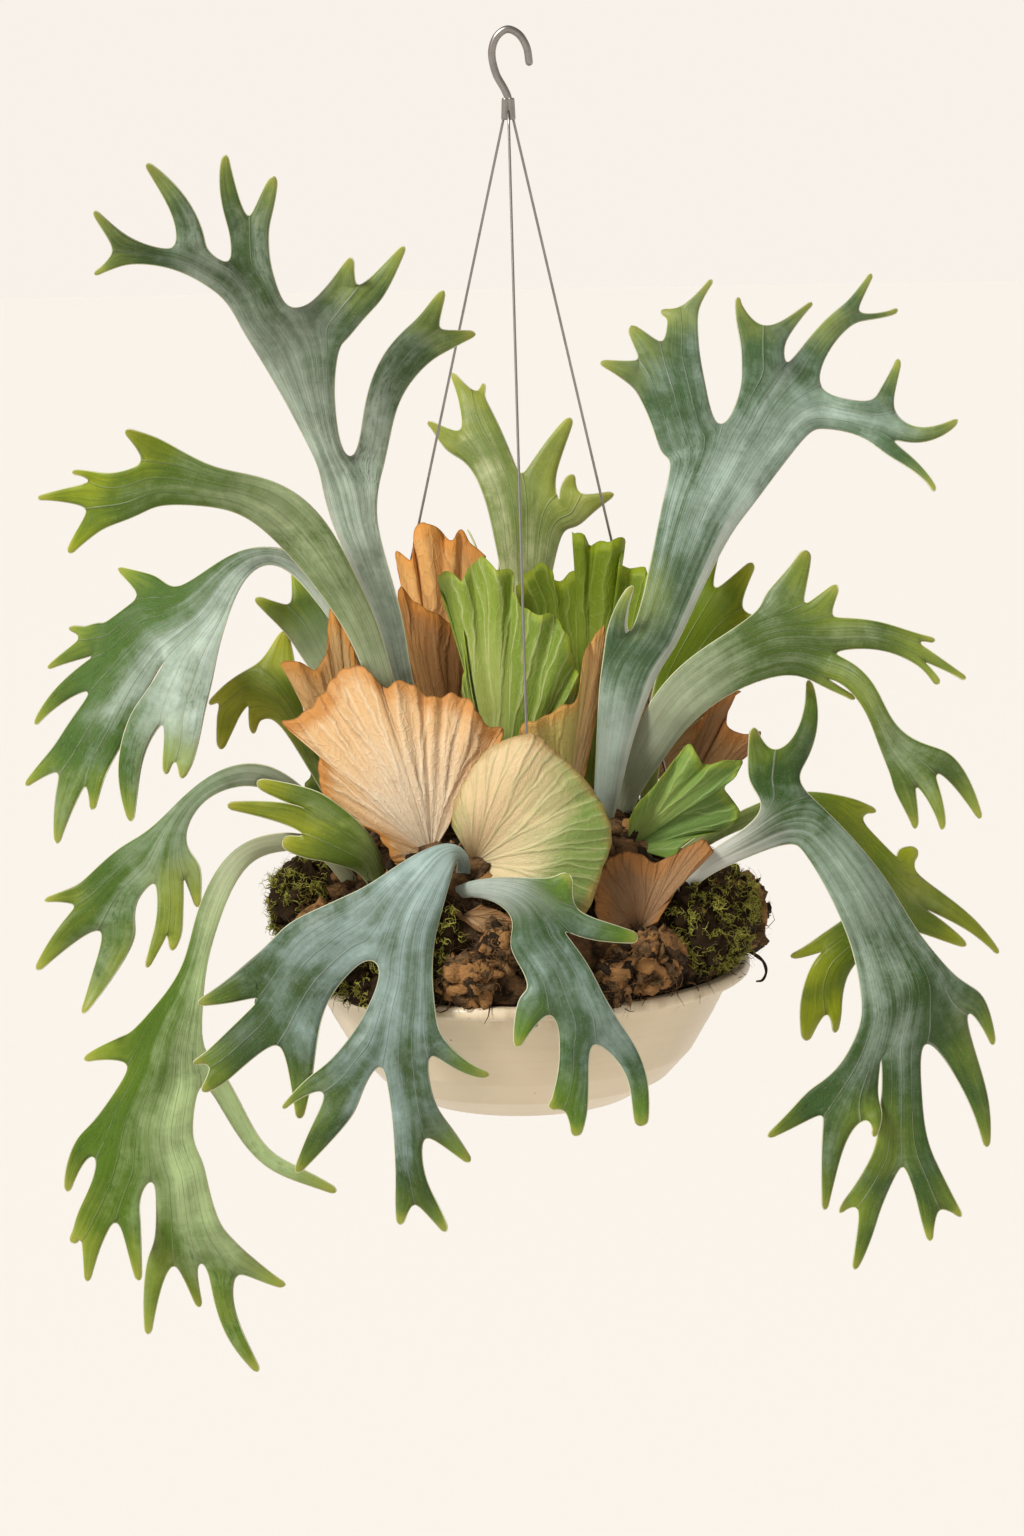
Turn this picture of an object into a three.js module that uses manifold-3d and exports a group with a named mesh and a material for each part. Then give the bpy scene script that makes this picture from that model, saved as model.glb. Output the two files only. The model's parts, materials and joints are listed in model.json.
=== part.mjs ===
// Staghorn fern in a shallow ceramic bowl that hangs on three steel wires from one hook.
// Millimetres, +Z up, the front faces -Y. The origin is the seat inside the hook's crook.
import * as THREE from "three";
import { mergeVertices } from "three/addons/utils/BufferGeometryUtils.js";
import Module from "manifold-3d";

const wasm = await Module();
wasm.setup();

// Heights are counted from the plane of the bowl's rim.
const HOOK_SEAT = 609;
const GAP = 0.3;
const FLAT_ENOUGH = 0.05;

// Bowl
const RIM_RADIUS = 152.5;
const LIP_INNER = 144;
const LIP_HEIGHT = 8.5;
const NECK_RADIUS = 141;
const BOWL_DEPTH = 95;
const FOOT_RADIUS = 48;
const WALL = 5;
const BOWL_SIDES = 32;

// Root ball: a dome whose height falls away as sqrt(1 - (r / R)^4)
const DOME_RADIUS = 141;
const DOME_HEIGHT = 105;
const ROOT_SIDES = 24;
const ROOT_RELIEF = 2.4;
const ROOT_CLEAR = 1;

// Hook, ferrule and wires
const ROD_RADIUS = 2.5;
const HOOK_STEPS = 18;
const FERRULE_TOP = 568;
const FERRULE_BOTTOM = 554;
const WIRE_RADIUS = 0.9;
const WIRE_HOLE_RADIUS = 148.3;
const ROD_SIDES = 10;
const WIRE_SIDES = 8;
const WIRE_AZIMUTHS = { front: -87.5, left: 152.5, right: 32.5 };

// Blades
const ANTLER_THICKNESS = 1.3;
const SHIELD_THICKNESS = 1.1;
const CAMBER = 0.14;
const FOOT_SINK = 11;
const SWEEP_REACH = 300;
const EYE_SINK = 7;
const FAN_SPREAD = THREE.MathUtils.degToRad(7);
const SPOKE_STEP = THREE.MathUtils.degToRad(1.2);
const SPOKE_PASSES = 200;
const BACK_TURN = 184;

// Moss, bark and coir on the root ball: centre, radii, turn about the vertical in degrees, roughness
// and grain of the surface. The two curled roots are thin rods.
const tufts = {
  moss_left: { at: [-142, -14, 42], radii: [25, 40, 30], turn: 0, rough: 0.16, grain: 2.4, kind: "moss" },
  moss_front_left: { at: [-98, -114, 12], radii: [32, 14, 17], turn: -38, rough: 0.18, grain: 2.6, kind: "moss" },
  moss_front_centre: { at: [-51, -128, 38], radii: [12, 9, 24], turn: 0, rough: 0.18, grain: 2.6, kind: "moss" },
  moss_right: { at: [120, -66, 40], radii: [24, 48, 34], turn: -36, rough: 0.16, grain: 2.4, kind: "moss" },
  bark_left: { at: [-131, -68, 30], radii: [15, 27, 20], turn: -28, rough: 0.2, grain: 3, kind: "bark" },
  bark_front_right: { at: [78, -118, 22], radii: [27, 13, 19], turn: 32, rough: 0.2, grain: 3, kind: "bark" },
  bark_right: { at: [146, -12, 30], radii: [15, 22, 24], turn: 8, rough: 0.2, grain: 3, kind: "bark" },
  coir_front_left: { at: [-35, -138, 17], radii: [17, 11, 15], turn: -14, rough: 0.16, grain: 2.8, kind: "bark" },
  coir_front_centre: { at: [-13, -138, 37], radii: [13, 9, 13], turn: -5, rough: 0.16, grain: 2.8, kind: "bark" },
  root_chunk_front: { at: [56, -136, 13], radii: [9, 8, 14], turn: 20, rough: 0.22, grain: 2, kind: "bark" },
};
const TUFT_DETAIL = 2;
const CURL_RADIUS = 1.3;
const CURL_STEPS = 12;
const curls = {
  curled_root_left: [[-140, -37, 21], [-148, -41, 13], [-154, -42, 7], [-157.5, -40, 0], [-157, -36, -8], [-155.5, -31, -15],
    [-157, -27, -18]],
  curled_root_right: [[139, -43, 19], [146, -45, 12], [152, -46, 6], [157, -45, 1], [158.5, -42, -9], [157, -37, -17],
    [155, -35, -14]],
};

// The fronds are drawn as they look from the front: right, up and forward. The look goes through a
// point on the axis, slightly downward and from a finite distance, so that a piece further forward
// looks larger and lower.
const LOOK_DOWN = THREE.MathUtils.degToRad(9.5);
const LOOK_DISTANCE = 2400;
const LOOK_HEIGHT = 128.9;
const COS = Math.cos(LOOK_DOWN);
const SIN = Math.sin(LOOK_DOWN);

function place([right, up, forward]) {
  const depth = (forward + up * SIN) / (COS + (up * SIN) / LOOK_DISTANCE);
  const shrink = 1 - depth / LOOK_DISTANCE;
  return new THREE.Vector3(right * shrink, -forward, LOOK_HEIGHT + up * shrink * COS + depth * SIN);
}

function look(x, forward, z) {
  const height = z - LOOK_HEIGHT;
  const depth = forward * COS + height * SIN;
  const shrink = 1 - depth / LOOK_DISTANCE;
  return [x / shrink, (height * COS - forward * SIN) / shrink, forward];
}

function domeHeight(radius) {
  const q = Math.min(radius / DOME_RADIUS, 1);
  return DOME_HEIGHT * Math.sqrt(1 - q ** 4);
}

// Antler fronds. A branch is [stations, ...branches], and a station is
// [right, up, half width, forward]. Each begins at its foot in the root ball: [x, forward, half width].
// The lean tilts its face to the right and up, and the sweep carries it forward or back with its reach.
const antlers = {
  antler_upper_left: {
    foot: [-60, 22, 5], lean: [0.15, 0], sweep: 30,
    tree: [[[-64, 10, 5, 30], [-77, 60, 6.5, 40], [-85, 100, 9, 46], [-97, 135, 11.5, 50],
      [-108, 168, 15, 50], [-110, 188, 19, 48]],
    [[[-122, 205, 9, 48], [-130, 230, 12.5, 50], [-137, 256, 18, 54], [-142, 280, 27, 56]],
      [[[-166, 300, 15, 64], [-172, 318, 17, 66]],
        [[[-196, 331, 9.5, 74], [-210, 341, 9, 80]],
          [[[-230, 343, 5.5, 88], [-250, 348, 6, 92]],
            [[[-262, 358, 4.5, 94], [-270, 366, 3.8, 95], [-277.5, 376, 1.8, 96]]],
            [[[-262, 342, 3.5, 94], [-278, 334, 1.6, 94]]]],
          [[[-212, 352, 9, 80], [-215, 370, 8, 78], [-228, 391, 6, 76], [-242, 407, 2, 76]]]],
        [[[-173, 340, 12.5, 62], [-174, 358, 12.5, 58]],
          [[[-182, 366, 7, 56], [-188, 385, 6.5, 52], [-190, 400, 5, 50], [-189, 412, 2, 50]]],
          [[[-167, 367, 6.5, 54], [-161, 384, 6.5, 48], [-157, 397, 2.2, 46]]]]],
      [[[-122, 297, 16, 46], [-113, 312, 17, 42]],
        [[[-114, 322, 8.5, 40], [-109, 334, 5, 40], [-106.5, 342, 2, 42]]],
        [[[-94, 317, 9, 36], [-83, 331, 6, 32], [-71, 349, 2, 30]]]]],
    [[[-97, 203, 10, 40], [-92, 225, 10, 34], [-88, 247, 11, 28], [-79, 266, 13, 22], [-66, 282, 14, 18]],
      [[[-57, 297, 7, 14], [-51, 308, 5.5, 12], [-45.5, 319, 2, 10]]],
      [[[-46, 285, 7.5, 14], [-36, 288, 5, 10], [-24.5, 290, 2, 6]]]]],
  },
  antler_left_arch: {
    foot: [-74, 30, 5.5], lean: [0.1, 0.12], sweep: 30,
    tree: [[[-80, 15, 6, 44], [-92, 62, 8.5, 56], [-104, 97, 11, 64], [-121, 128, 13.5, 70],
      [-139, 156, 17, 76], [-160, 177, 17, 80], [-184, 187.5, 13, 84], [-205, 191, 13, 86], [-224, 197, 18, 86]],
    [[[-240, 217, 8.5, 88], [-249, 223, 5.5, 88], [-259, 229.5, 2.2, 88]]],
    [[[-246, 191, 14, 86], [-264, 184, 17, 84]],
      [[[-278, 171, 7.5, 84], [-289, 161, 5.5, 82], [-298, 148.5, 2.2, 80]]],
      [[[-286, 187, 7.5, 78], [-302, 187.5, 4.2, 72], [-318, 185.3, 1.6, 66]]],
      [[[-280, 199.5, 3.5, 80], [-295, 202.5, 1.6, 78]]]]],
  },
  antler_left_droop: {
    foot: [-88, 22, 4.5], lean: [0.4, 0], sweep: -110,
    tree: [[[-93, 30, 4.5, 30], [-101, 70, 5, 34], [-113, 95, 6.5, 38], [-130, 121, 7.5, 44],
      [-147, 140, 7, 52], [-165, 147, 5.5, 60], [-183, 141, 9, 66], [-198, 126, 13, 70], [-210, 110, 20, 72]],
    [[[-243, 126, 8, 54], [-253, 130.5, 5.5, 50], [-265, 137.5, 2, 46]]],
    [[[-246, 96, 22, 60], [-260, 82, 24, 58]],
      [[[-278, 93, 11, 48], [-284, 89, 10.5, 46]],
        [[[-289, 96, 4.2, 44], [-298.5, 98.5, 1.8, 42]]],
        [[[-290, 84, 6.5, 42], [-302, 79, 4, 38], [-313, 72, 1.5, 34]]]],
      [[[-286, 67, 8.5, 50], [-302, 58, 6.5, 46], [-314, 47, 4.2, 44], [-322, 34.5, 1.6, 42]]],
      [[[-272, 44, 18, 62], [-286, 22, 20, 66]],
        [[[-308, 12, 7, 64], [-320, 3, 4.2, 62], [-329, -6, 1.8, 60]]],
        [[[-299, -5, 9.5, 68], [-306, -25, 6, 70], [-309, -45, 2, 70]]],
        [[[-283, -3, 6, 72], [-285, -23, 2, 72]]]]],
    [[[-219, 70, 17, 78], [-226, 52, 20, 80]],
      [[[-248, 38, 11, 78], [-260, 12, 8.5, 76], [-261, -10, 7, 74], [-259.5, -31, 2, 74]]],
      [[[-223, 37, 13, 86], [-225, 20, 12, 88]],
        [[[-234, 10, 4.5, 88], [-236, 0, 2, 88]]],
        [[[-223, 8, 6, 90], [-225.5, -3, 2, 90]]]]]],
  },
  antler_left_small: {
    foot: [-95, 2, 5], lean: [0.1, 0], sweep: -60,
    tree: [[[-103, 20, 5.5, 4], [-117, 55, 7.5, 6], [-129, 74, 13, 8], [-136, 92, 14, 8]],
      [[[-159, 106, 6.5, 12], [-166, 111, 4.5, 12], [-174, 116, 2.2, 12]]],
      [[[-139, 112, 9, 2], [-145.5, 124, 5.2, 0], [-148, 135, 1.8, -2]]]],
  },
  antler_left_pale: {
    foot: [-112, -8, 4], lean: [0.1, 0], sweep: -60,
    tree: [[[-124, -18, 4.5, -16], [-137, 5, 5, -22], [-149, 32, 8, -26], [-154, 42, 10, -27]],
      [[[-175, 38, 5, -24], [-177, 26, 1.8, -22]]],
      [[[-179, 58, 11, -26], [-190, 52, 10.5, -24]],
        [[[-195, 35, 7.5, -22], [-199, 16, 2.4, -20]]],
        [[[-199, 51, 3.6, -24], [-206, 46, 1.8, -24]]]],
      [[[-158, 74, 10, -32], [-155, 94, 3, -34]]]],
  },
  antler_left_lower: {
    foot: [-100, 40, 5], lean: [0.35, 0], sweep: 40,
    tree: [[[-124, -40, 5, 44], [-150, -14, 7, 52], [-172, 0, 8.5, 58], [-193, -1.5, 7.5, 66],
      [-212, -11, 5.5, 74], [-226, -25, 6.5, 80], [-236, -42, 11, 82]],
    [[[-254, -57, 15, 72], [-272, -73, 17, 66]],
      [[[-295, -79, 6, 56], [-307, -80, 3.5, 52], [-318, -83, 1.6, 48]]],
      [[[-293, -95, 9.5, 60], [-309, -110, 7, 58], [-324, -129, 2.2, 56]]],
      [[[-267, -104, 11, 70], [-277, -126, 8.5, 70], [-287, -146, 4.6, 70], [-294, -158.5, 1.8, 70]]]],
    [[[-234, -74, 9.5, 84], [-234, -92, 8, 84]],
      [[[-242, -108, 5, 84], [-251, -128.5, 1.8, 84]]],
      [[[-231.5, -105, 5.5, 84], [-234, -117.5, 2.2, 84]]]],
    [[[-220, -62, 7.5, 86], [-218, -73, 5, 86], [-216, -89, 2, 86]]]],
  },
  antler_left_young: {
    foot: [-92, 74, 6], lean: [0, 0], sweep: 0,
    tree: [[[-101, -57, 11, 84], [-111, -51, 16, 86], [-122, -44, 18, 86]],
      [[[-140, -52, 7.5, 86], [-150, -49, 7, 84], [-159, -46, 4, 82]]],
      [[[-146, -30, 9, 82], [-166, -25, 6.5, 78], [-195, -21.5, 2.6, 74]]],
      [[[-136, -22, 9.5, 78], [-150, -15, 7, 74], [-165, -11, 6, 70], [-175, -6, 3, 68]]]],
  },
  antler_long_left: {
    foot: [-108, 56, 5], lean: [0.2, 0], sweep: -60,
    tree: [[[-135, -48, 5, 68], [-158, -46, 6.5, 76], [-178, -49, 6.5, 86], [-192, -60, 7.5, 94],
      [-204, -81, 8, 100], [-212, -103, 8, 104], [-218, -126, 7, 106], [-225, -148, 12, 106], [-236, -174, 22, 104]],
    [[[-264, -181, 8, 98], [-278, -183, 6, 96], [-293.5, -189.5, 2, 94]]],
    [[[-242, -204, 23, 102], [-252, -232, 31, 102]],
      [[[-293, -244, 7.5, 96], [-303, -260, 5.5, 94], [-306, -277, 2.2, 92]]],
      [[[-269, -264, 16, 104], [-276, -283, 17, 106]],
        [[[-288, -293, 12, 104], [-291, -302, 12, 104]],
          [[[-300, -306, 4.5, 102], [-303.5, -311.5, 2.6, 102]]],
          [[[-291, -313, 6.5, 106], [-294, -337, 2.2, 108]]]],
        [[[-265, -292, 7.5, 112], [-263, -312, 5.6, 114], [-259.5, -337, 2.4, 116]]]],
      [[[-231, -264, 17, 102], [-229, -288, 19, 100], [-225, -310, 22, 98]],
        [[[-245, -322, 9, 98], [-252, -348, 5.5, 98], [-254, -373, 2.4, 98]]],
        [[[-228, -325, 5.8, 92], [-223, -342, 4, 90], [-219.5, -355.5, 2.2, 90]]],
        [[[-207, -317, 13, 96], [-203, -324, 13, 96]],
          [[[-205, -334, 8, 98], [-203, -358, 6, 100], [-195, -378, 6, 104], [-181, -399, 2.2, 108]]],
          [[[-188, -327, 6.5, 90], [-175, -337, 4.6, 88], [-162, -342, 2.2, 86]]]]]],
    [[[-208, -200, 7, 92], [-196, -222, 7, 84], [-185, -243, 5.5, 80], [-172, -260, 5.5, 78],
      [-150, -269, 5, 78], [-127, -280, 2.4, 78]]]],
  },
  antler_front_left: {
    foot: [-38, 104, 4.5], lean: [0.3, -0.15], sweep: 0,
    tree: [[[-37, -54, 6, 116], [-48, -52, 9, 124], [-60, -66, 15, 130], [-75, -86, 25, 136]],
      [[[-113, -103, 20, 130], [-138, -120, 27, 126]],
        [[[-174, -134, 13, 120], [-192, -145, 9, 117], [-217, -153, 2.2, 114]]],
        [[[-178, -170, 13, 124], [-193, -184, 12.5, 124]],
          [[[-205, -203, 6.5, 126], [-215.5, -211.5, 2.4, 126]]],
          [[[-211, -189, 4, 120], [-221, -193, 1.6, 118]]]],
        [[[-149, -183, 10.5, 138], [-149, -207, 7.5, 142], [-151, -231, 2.6, 144]]]],
      [[[-76, -134, 15.5, 148], [-81, -160, 23, 154]],
        [[[-106, -184, 12.5, 158], [-119, -202, 13.5, 162]],
          [[[-138, -205, 5.5, 156], [-150, -213, 3.5, 154], [-162, -224, 1.6, 150]]],
          [[[-122, -221, 11, 166], [-138, -243, 8.5, 166], [-153.5, -267, 2.4, 164]]]],
        [[[-79, -200, 14, 162], [-76, -222, 14, 164]],
          [[[-79.5, -246, 9, 166], [-78.5, -268, 9, 166]],
            [[[-83, -286, 5.6, 166], [-85, -303, 2.6, 166]]],
            [[[-68, -286, 6, 164], [-60, -298, 4.6, 164], [-54.5, -308, 2.2, 164]]]],
          [[[-60, -237, 7.5, 160], [-49, -249, 5.8, 158], [-38, -262, 2.4, 156]]]],
        [[[-60, -180, 5.6, 160], [-50, -193, 5.6, 162], [-38, -202, 4.6, 162], [-24, -204, 2.2, 162]]]]],
  },
  antler_front_right: {
    foot: [-45, 108, 4], lean: [0.1, -0.1], sweep: 0,
    tree: [[[-41, -78, 4.5, 122], [-30, -79, 6, 133], [-14, -80, 8, 143], [2, -86, 14, 151]],
      [[[6, -112, 18, 158], [16, -125, 18, 161], [25, -140, 22, 164]],
        [[[6, -156, 11, 168], [-1, -170, 7.5, 170], [-5, -186, 2.4, 170]]],
        [[[36, -157, 17, 168], [42, -171, 20, 168]],
          [[[33, -181, 10.5, 168], [33, -203, 9.8, 166], [30, -217, 12, 166]],
            [[[20, -224, 4.5, 166], [15.5, -227, 2.4, 166]]],
            [[[35, -229, 7, 164], [33, -246, 3.6, 164]]]],
          [[[56, -177, 10, 164], [69, -192, 8.2, 160], [76.5, -208, 6.2, 158], [76.5, -224, 6.6, 158],
            [77, -240, 4.4, 158]]]]],
      [[[41, -108, 8, 157], [58, -111, 6.8, 154], [76.5, -115, 3.6, 150]]],
      [[[22, -82, 9.5, 150], [32, -72, 4.5, 150]]]],
  },
  antler_right_upright: {
    foot: [52, 44, 6], lean: [-0.1, 0], sweep: -70,
    tree: [[[58, -18, 8.5, 56], [62, 10, 11, 60], [67, 36, 14.5, 62], [73, 62, 18.5, 60]],
      [[[65.5, 84, 7.5, 64], [67, 100, 5.8, 68], [72, 112, 4, 70], [77.5, 120, 1.6, 70]]],
      [[[91, 85, 15.5, 52], [103, 115, 18, 46], [115, 148, 22.5, 40], [125, 174, 27, 35], [133, 188, 31, 31]],
        [[[116, 215, 20, 34], [111, 235, 20, 36], [106, 252, 23, 36]],
          [[[84, 260, 9, 42], [70, 266, 4.8, 46], [58.5, 269, 2, 48]]],
          [[[90, 278, 8.5, 34], [83, 287, 5.6, 30], [79, 293, 2.4, 28]]],
          [[[113, 277, 12, 28], [114, 293, 10, 24]],
            [[[106, 300, 4, 18], [99.5, 302.5, 2, 14]]],
            [[[120, 304, 4, 24], [127, 314, 2.4, 28], [134, 323, 1.2, 32]]]]],
        [[[162, 214, 23, 22], [175, 236, 27, 16]],
          [[[167, 262, 15, 20], [167, 277, 13, 22]],
            [[[155, 290, 5.2, 24], [151.5, 302, 3, 28], [151, 311, 1.6, 30]]],
            [[[179, 285, 5.2, 18], [190, 298, 2.8, 12], [200.5, 306.5, 1.4, 6]]]],
          [[[193, 262, 9.5, 4], [206, 282, 8, 0], [218, 295, 7, -4]],
            [[[226, 303, 4.2, -6], [233, 313, 3.2, -8], [240.5, 325, 1.5, -10]]],
            [[[231, 296.5, 2.4, -8], [245, 295, 1.5, -14], [257.5, 301, 1.2, -20]]]],
          [[[206, 233, 11, 14], [224, 231, 10.5, 20], [238, 227, 10.5, 26]],
            [[[246, 243, 4.5, 20], [254, 255, 4, 16], [257.5, 268, 1.8, 12]]],
            [[[254, 221, 5, 32], [268, 214.5, 6, 40], [282, 217, 5.4, 46], [296, 227, 1.8, 52]]],
            [[[249, 209, 5, 36], [263, 200.5, 4, 40], [274, 192, 2.8, 44], [280, 179.5, 1.4, 48]]]]]]],
  },
  antler_right_middle: {
    foot: [64, 26, 5.5], lean: [0.1, 0.1], sweep: 60,
    tree: [[[71, -18, 7.5, 34], [84, 8, 12, 42], [101, 36, 15.5, 50], [122, 56, 17.5, 58],
      [146, 70, 18.5, 64], [168, 80, 22, 68]],
    [[[177, 108, 13, 58], [187, 123, 8.5, 52], [193.5, 141.5, 3.6, 46]]],
    [[[200, 102, 8, 58], [209, 112, 5, 54], [213.5, 118, 2.4, 52]]],
    [[[214, 86, 11, 66], [238, 85.5, 10, 62], [257, 80, 7.5, 58]],
      [[[265, 83, 2.8, 54], [278, 80, 1.2, 50]]],
      [[[269, 72, 5, 58], [284, 63.5, 3, 56], [298, 54, 1.3, 54]]],
      [[[272, 63, 3.2, 62], [280, 51, 2.4, 64]]]],
    [[[205, 64, 8, 76], [221, 60.5, 9, 84], [233, 46, 8, 88], [241, 27, 5.5, 90], [249, 10, 11, 88],
      [260, -1, 14.5, 86]],
    [[[281, 1, 8, 80], [294, -13, 6.5, 76], [306.5, -39, 1.8, 72]]],
    [[[270, -14, 6.5, 90], [279, -28, 5, 92], [281, -46, 1.8, 94]]],
    [[[255, -15, 8, 84], [261, -31, 5, 82], [263, -45, 1.8, 80]]]],
    [[[206, 53, 4, 74], [224, 42, 1.5, 70]]]],
  },
  antler_right_lower: {
    foot: [94, 85, 4.5], lean: [-0.25, 0], sweep: 20,
    tree: [[[118, -70, 6, 90], [140, -58, 8, 92], [160, -48, 10, 92], [176, -38, 15, 90]],
      [[[166, -13, 15.5, 80], [167, -6, 15.5, 79]],
        [[[158, 5, 6.5, 78], [157, 14, 4.6, 78], [156, 24, 2.6, 78]]],
        [[[183, 3, 8.5, 74], [193, 20, 6.8, 70], [196, 38, 5, 66], [193.5, 55, 1.8, 62]]]],
      [[[196, -46, 15, 94], [213, -67, 17, 98], [229, -93, 20, 100], [241, -120, 22, 100], [254, -150, 31, 98]],
        [[[301, -160, 7.5, 80], [308, -173, 4.8, 76], [312.5, -190, 1.8, 72]]],
        [[[281, -178, 14, 88], [293, -203, 9.5, 84], [304, -231, 6.5, 80], [307, -258, 2.2, 78]]],
        [[[250, -188, 14, 100], [251, -215, 13, 102], [250, -240, 15, 104]],
          [[[261, -265, 10, 104], [268, -282, 11, 104]],
            [[[280, -293, 5, 100], [289, -304, 1.8, 98]]],
            [[[266, -300, 5.6, 106], [268, -320, 2.2, 108]]]],
          [[[240, -264, 10, 108], [230, -284, 10.5, 110]],
            [[[228, -301, 6, 112], [224, -318, 5.6, 114], [217, -338, 2, 116]]],
            [[[216, -291, 4, 108], [208, -300, 1.8, 108]]]]],
        [[[226, -202, 14, 108], [217, -219, 17, 112]],
          [[[235, -233, 4.6, 118], [231.5, -250, 2, 120]]],
          [[[207, -240, 9.5, 116], [202.5, -263, 6.5, 118], [198, -298, 2, 120]]],
          [[[195, -224, 9.5, 114], [179, -237, 5.8, 114], [161, -248.5, 2, 114]]]]]],
  },
  antler_right_behind: {
    foot: [102, 40, 4.5], lean: [-0.3, 0], sweep: -80,
    tree: [[[128, -46, 5, 40], [158, -33, 6.5, 44], [186, -26, 9, 48], [206, -34, 14, 50]],
      [[[221, -29, 5.5, 50], [237, -33, 1.8, 46]]],
      [[[226, -58, 14, 52], [240, -78, 17, 52]],
        [[[253, -64, 7.5, 46], [259, -62, 6, 44], [264.5, -60, 3.6, 42]]],
        [[[268, -90, 8.5, 42], [286, -100, 6.5, 38], [303, -112, 4.4, 34], [317, -129, 1.4, 30]]],
        [[[268, -106, 8, 46], [282, -115, 6, 44], [295.5, -123.5, 2, 42]]],
        [[[233, -104, 12, 60], [222, -114, 13, 62]],
          [[[206, -133, 13, 66], [199, -148, 14, 68]],
            [[[208, -165, 4.6, 70], [207, -180, 2, 72]]],
            [[[191, -166, 8, 68], [187.5, -185, 3, 68]]]],
          [[[203, -119, 6.5, 60], [192, -125, 4.2, 58], [178.5, -129, 1.8, 56]]]]]],
  },
  antler_right_bright: {
    foot: [84, 0, 5], lean: [0, 0], sweep: -50,
    tree: [[[90, 20, 6.5, -4], [100, 52, 10, -6], [114, 76, 16, -8], [126, 94, 19, -10]],
      [[[122, 116, 8, -18], [128, 134, 6, -22], [136, 150, 2.4, -26]]],
      [[[141, 112, 8, -8], [149, 122, 6, -8], [158, 133.5, 2.6, -8]]],
      [[[152, 92, 6.5, 0], [168, 96, 3, 4]]]],
  },
  antler_centre_back: {
    foot: [5, -38, 6], lean: [0, 0], sweep: -50,
    tree: [[[5, 40, 8, -56], [6, 90, 11, -62], [7, 130, 17, -66], [8, 162, 24, -68]],
      [[[-9, 190, 14, -72], [-17, 212, 14, -76]],
        [[[-40, 216, 8, -76], [-49, 226, 3.8, -78], [-57, 231.5, 1.6, -80]]],
        [[[-22, 230, 11, -80], [-26, 243, 9, -84]],
          [[[-34, 253, 4.2, -86], [-40, 264, 1.8, -88]]],
          [[[-21.5, 248, 3, -88], [-19, 256.5, 1.8, -92]]]]],
      [[[15, 190, 10, -68], [24, 209, 8, -66], [31, 221, 6, -66], [38.5, 232.5, 2.4, -66]]],
      [[[36, 167, 10, -60], [40, 172, 10.5, -59]],
        [[[35, 184, 6.4, -60], [39, 195, 2.6, -60]]],
        [[[49, 174, 6, -56], [56, 178, 4.6, -54], [66, 181.5, 2, -52]]]]],
  },
};

// Fronds of the unseen back: they repeat the forms of the front, turned about the hanging axis.
const backAntlers = {
  antler_back_low_left: { like: "antler_front_right", turn: 188 },
  antler_back_low_right: { like: "antler_front_right", turn: 148 },
  antler_back_upright: { like: "antler_right_bright", turn: 84 },
  antler_back_left: { like: "antler_right_bright", turn: 124 },
};

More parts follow.
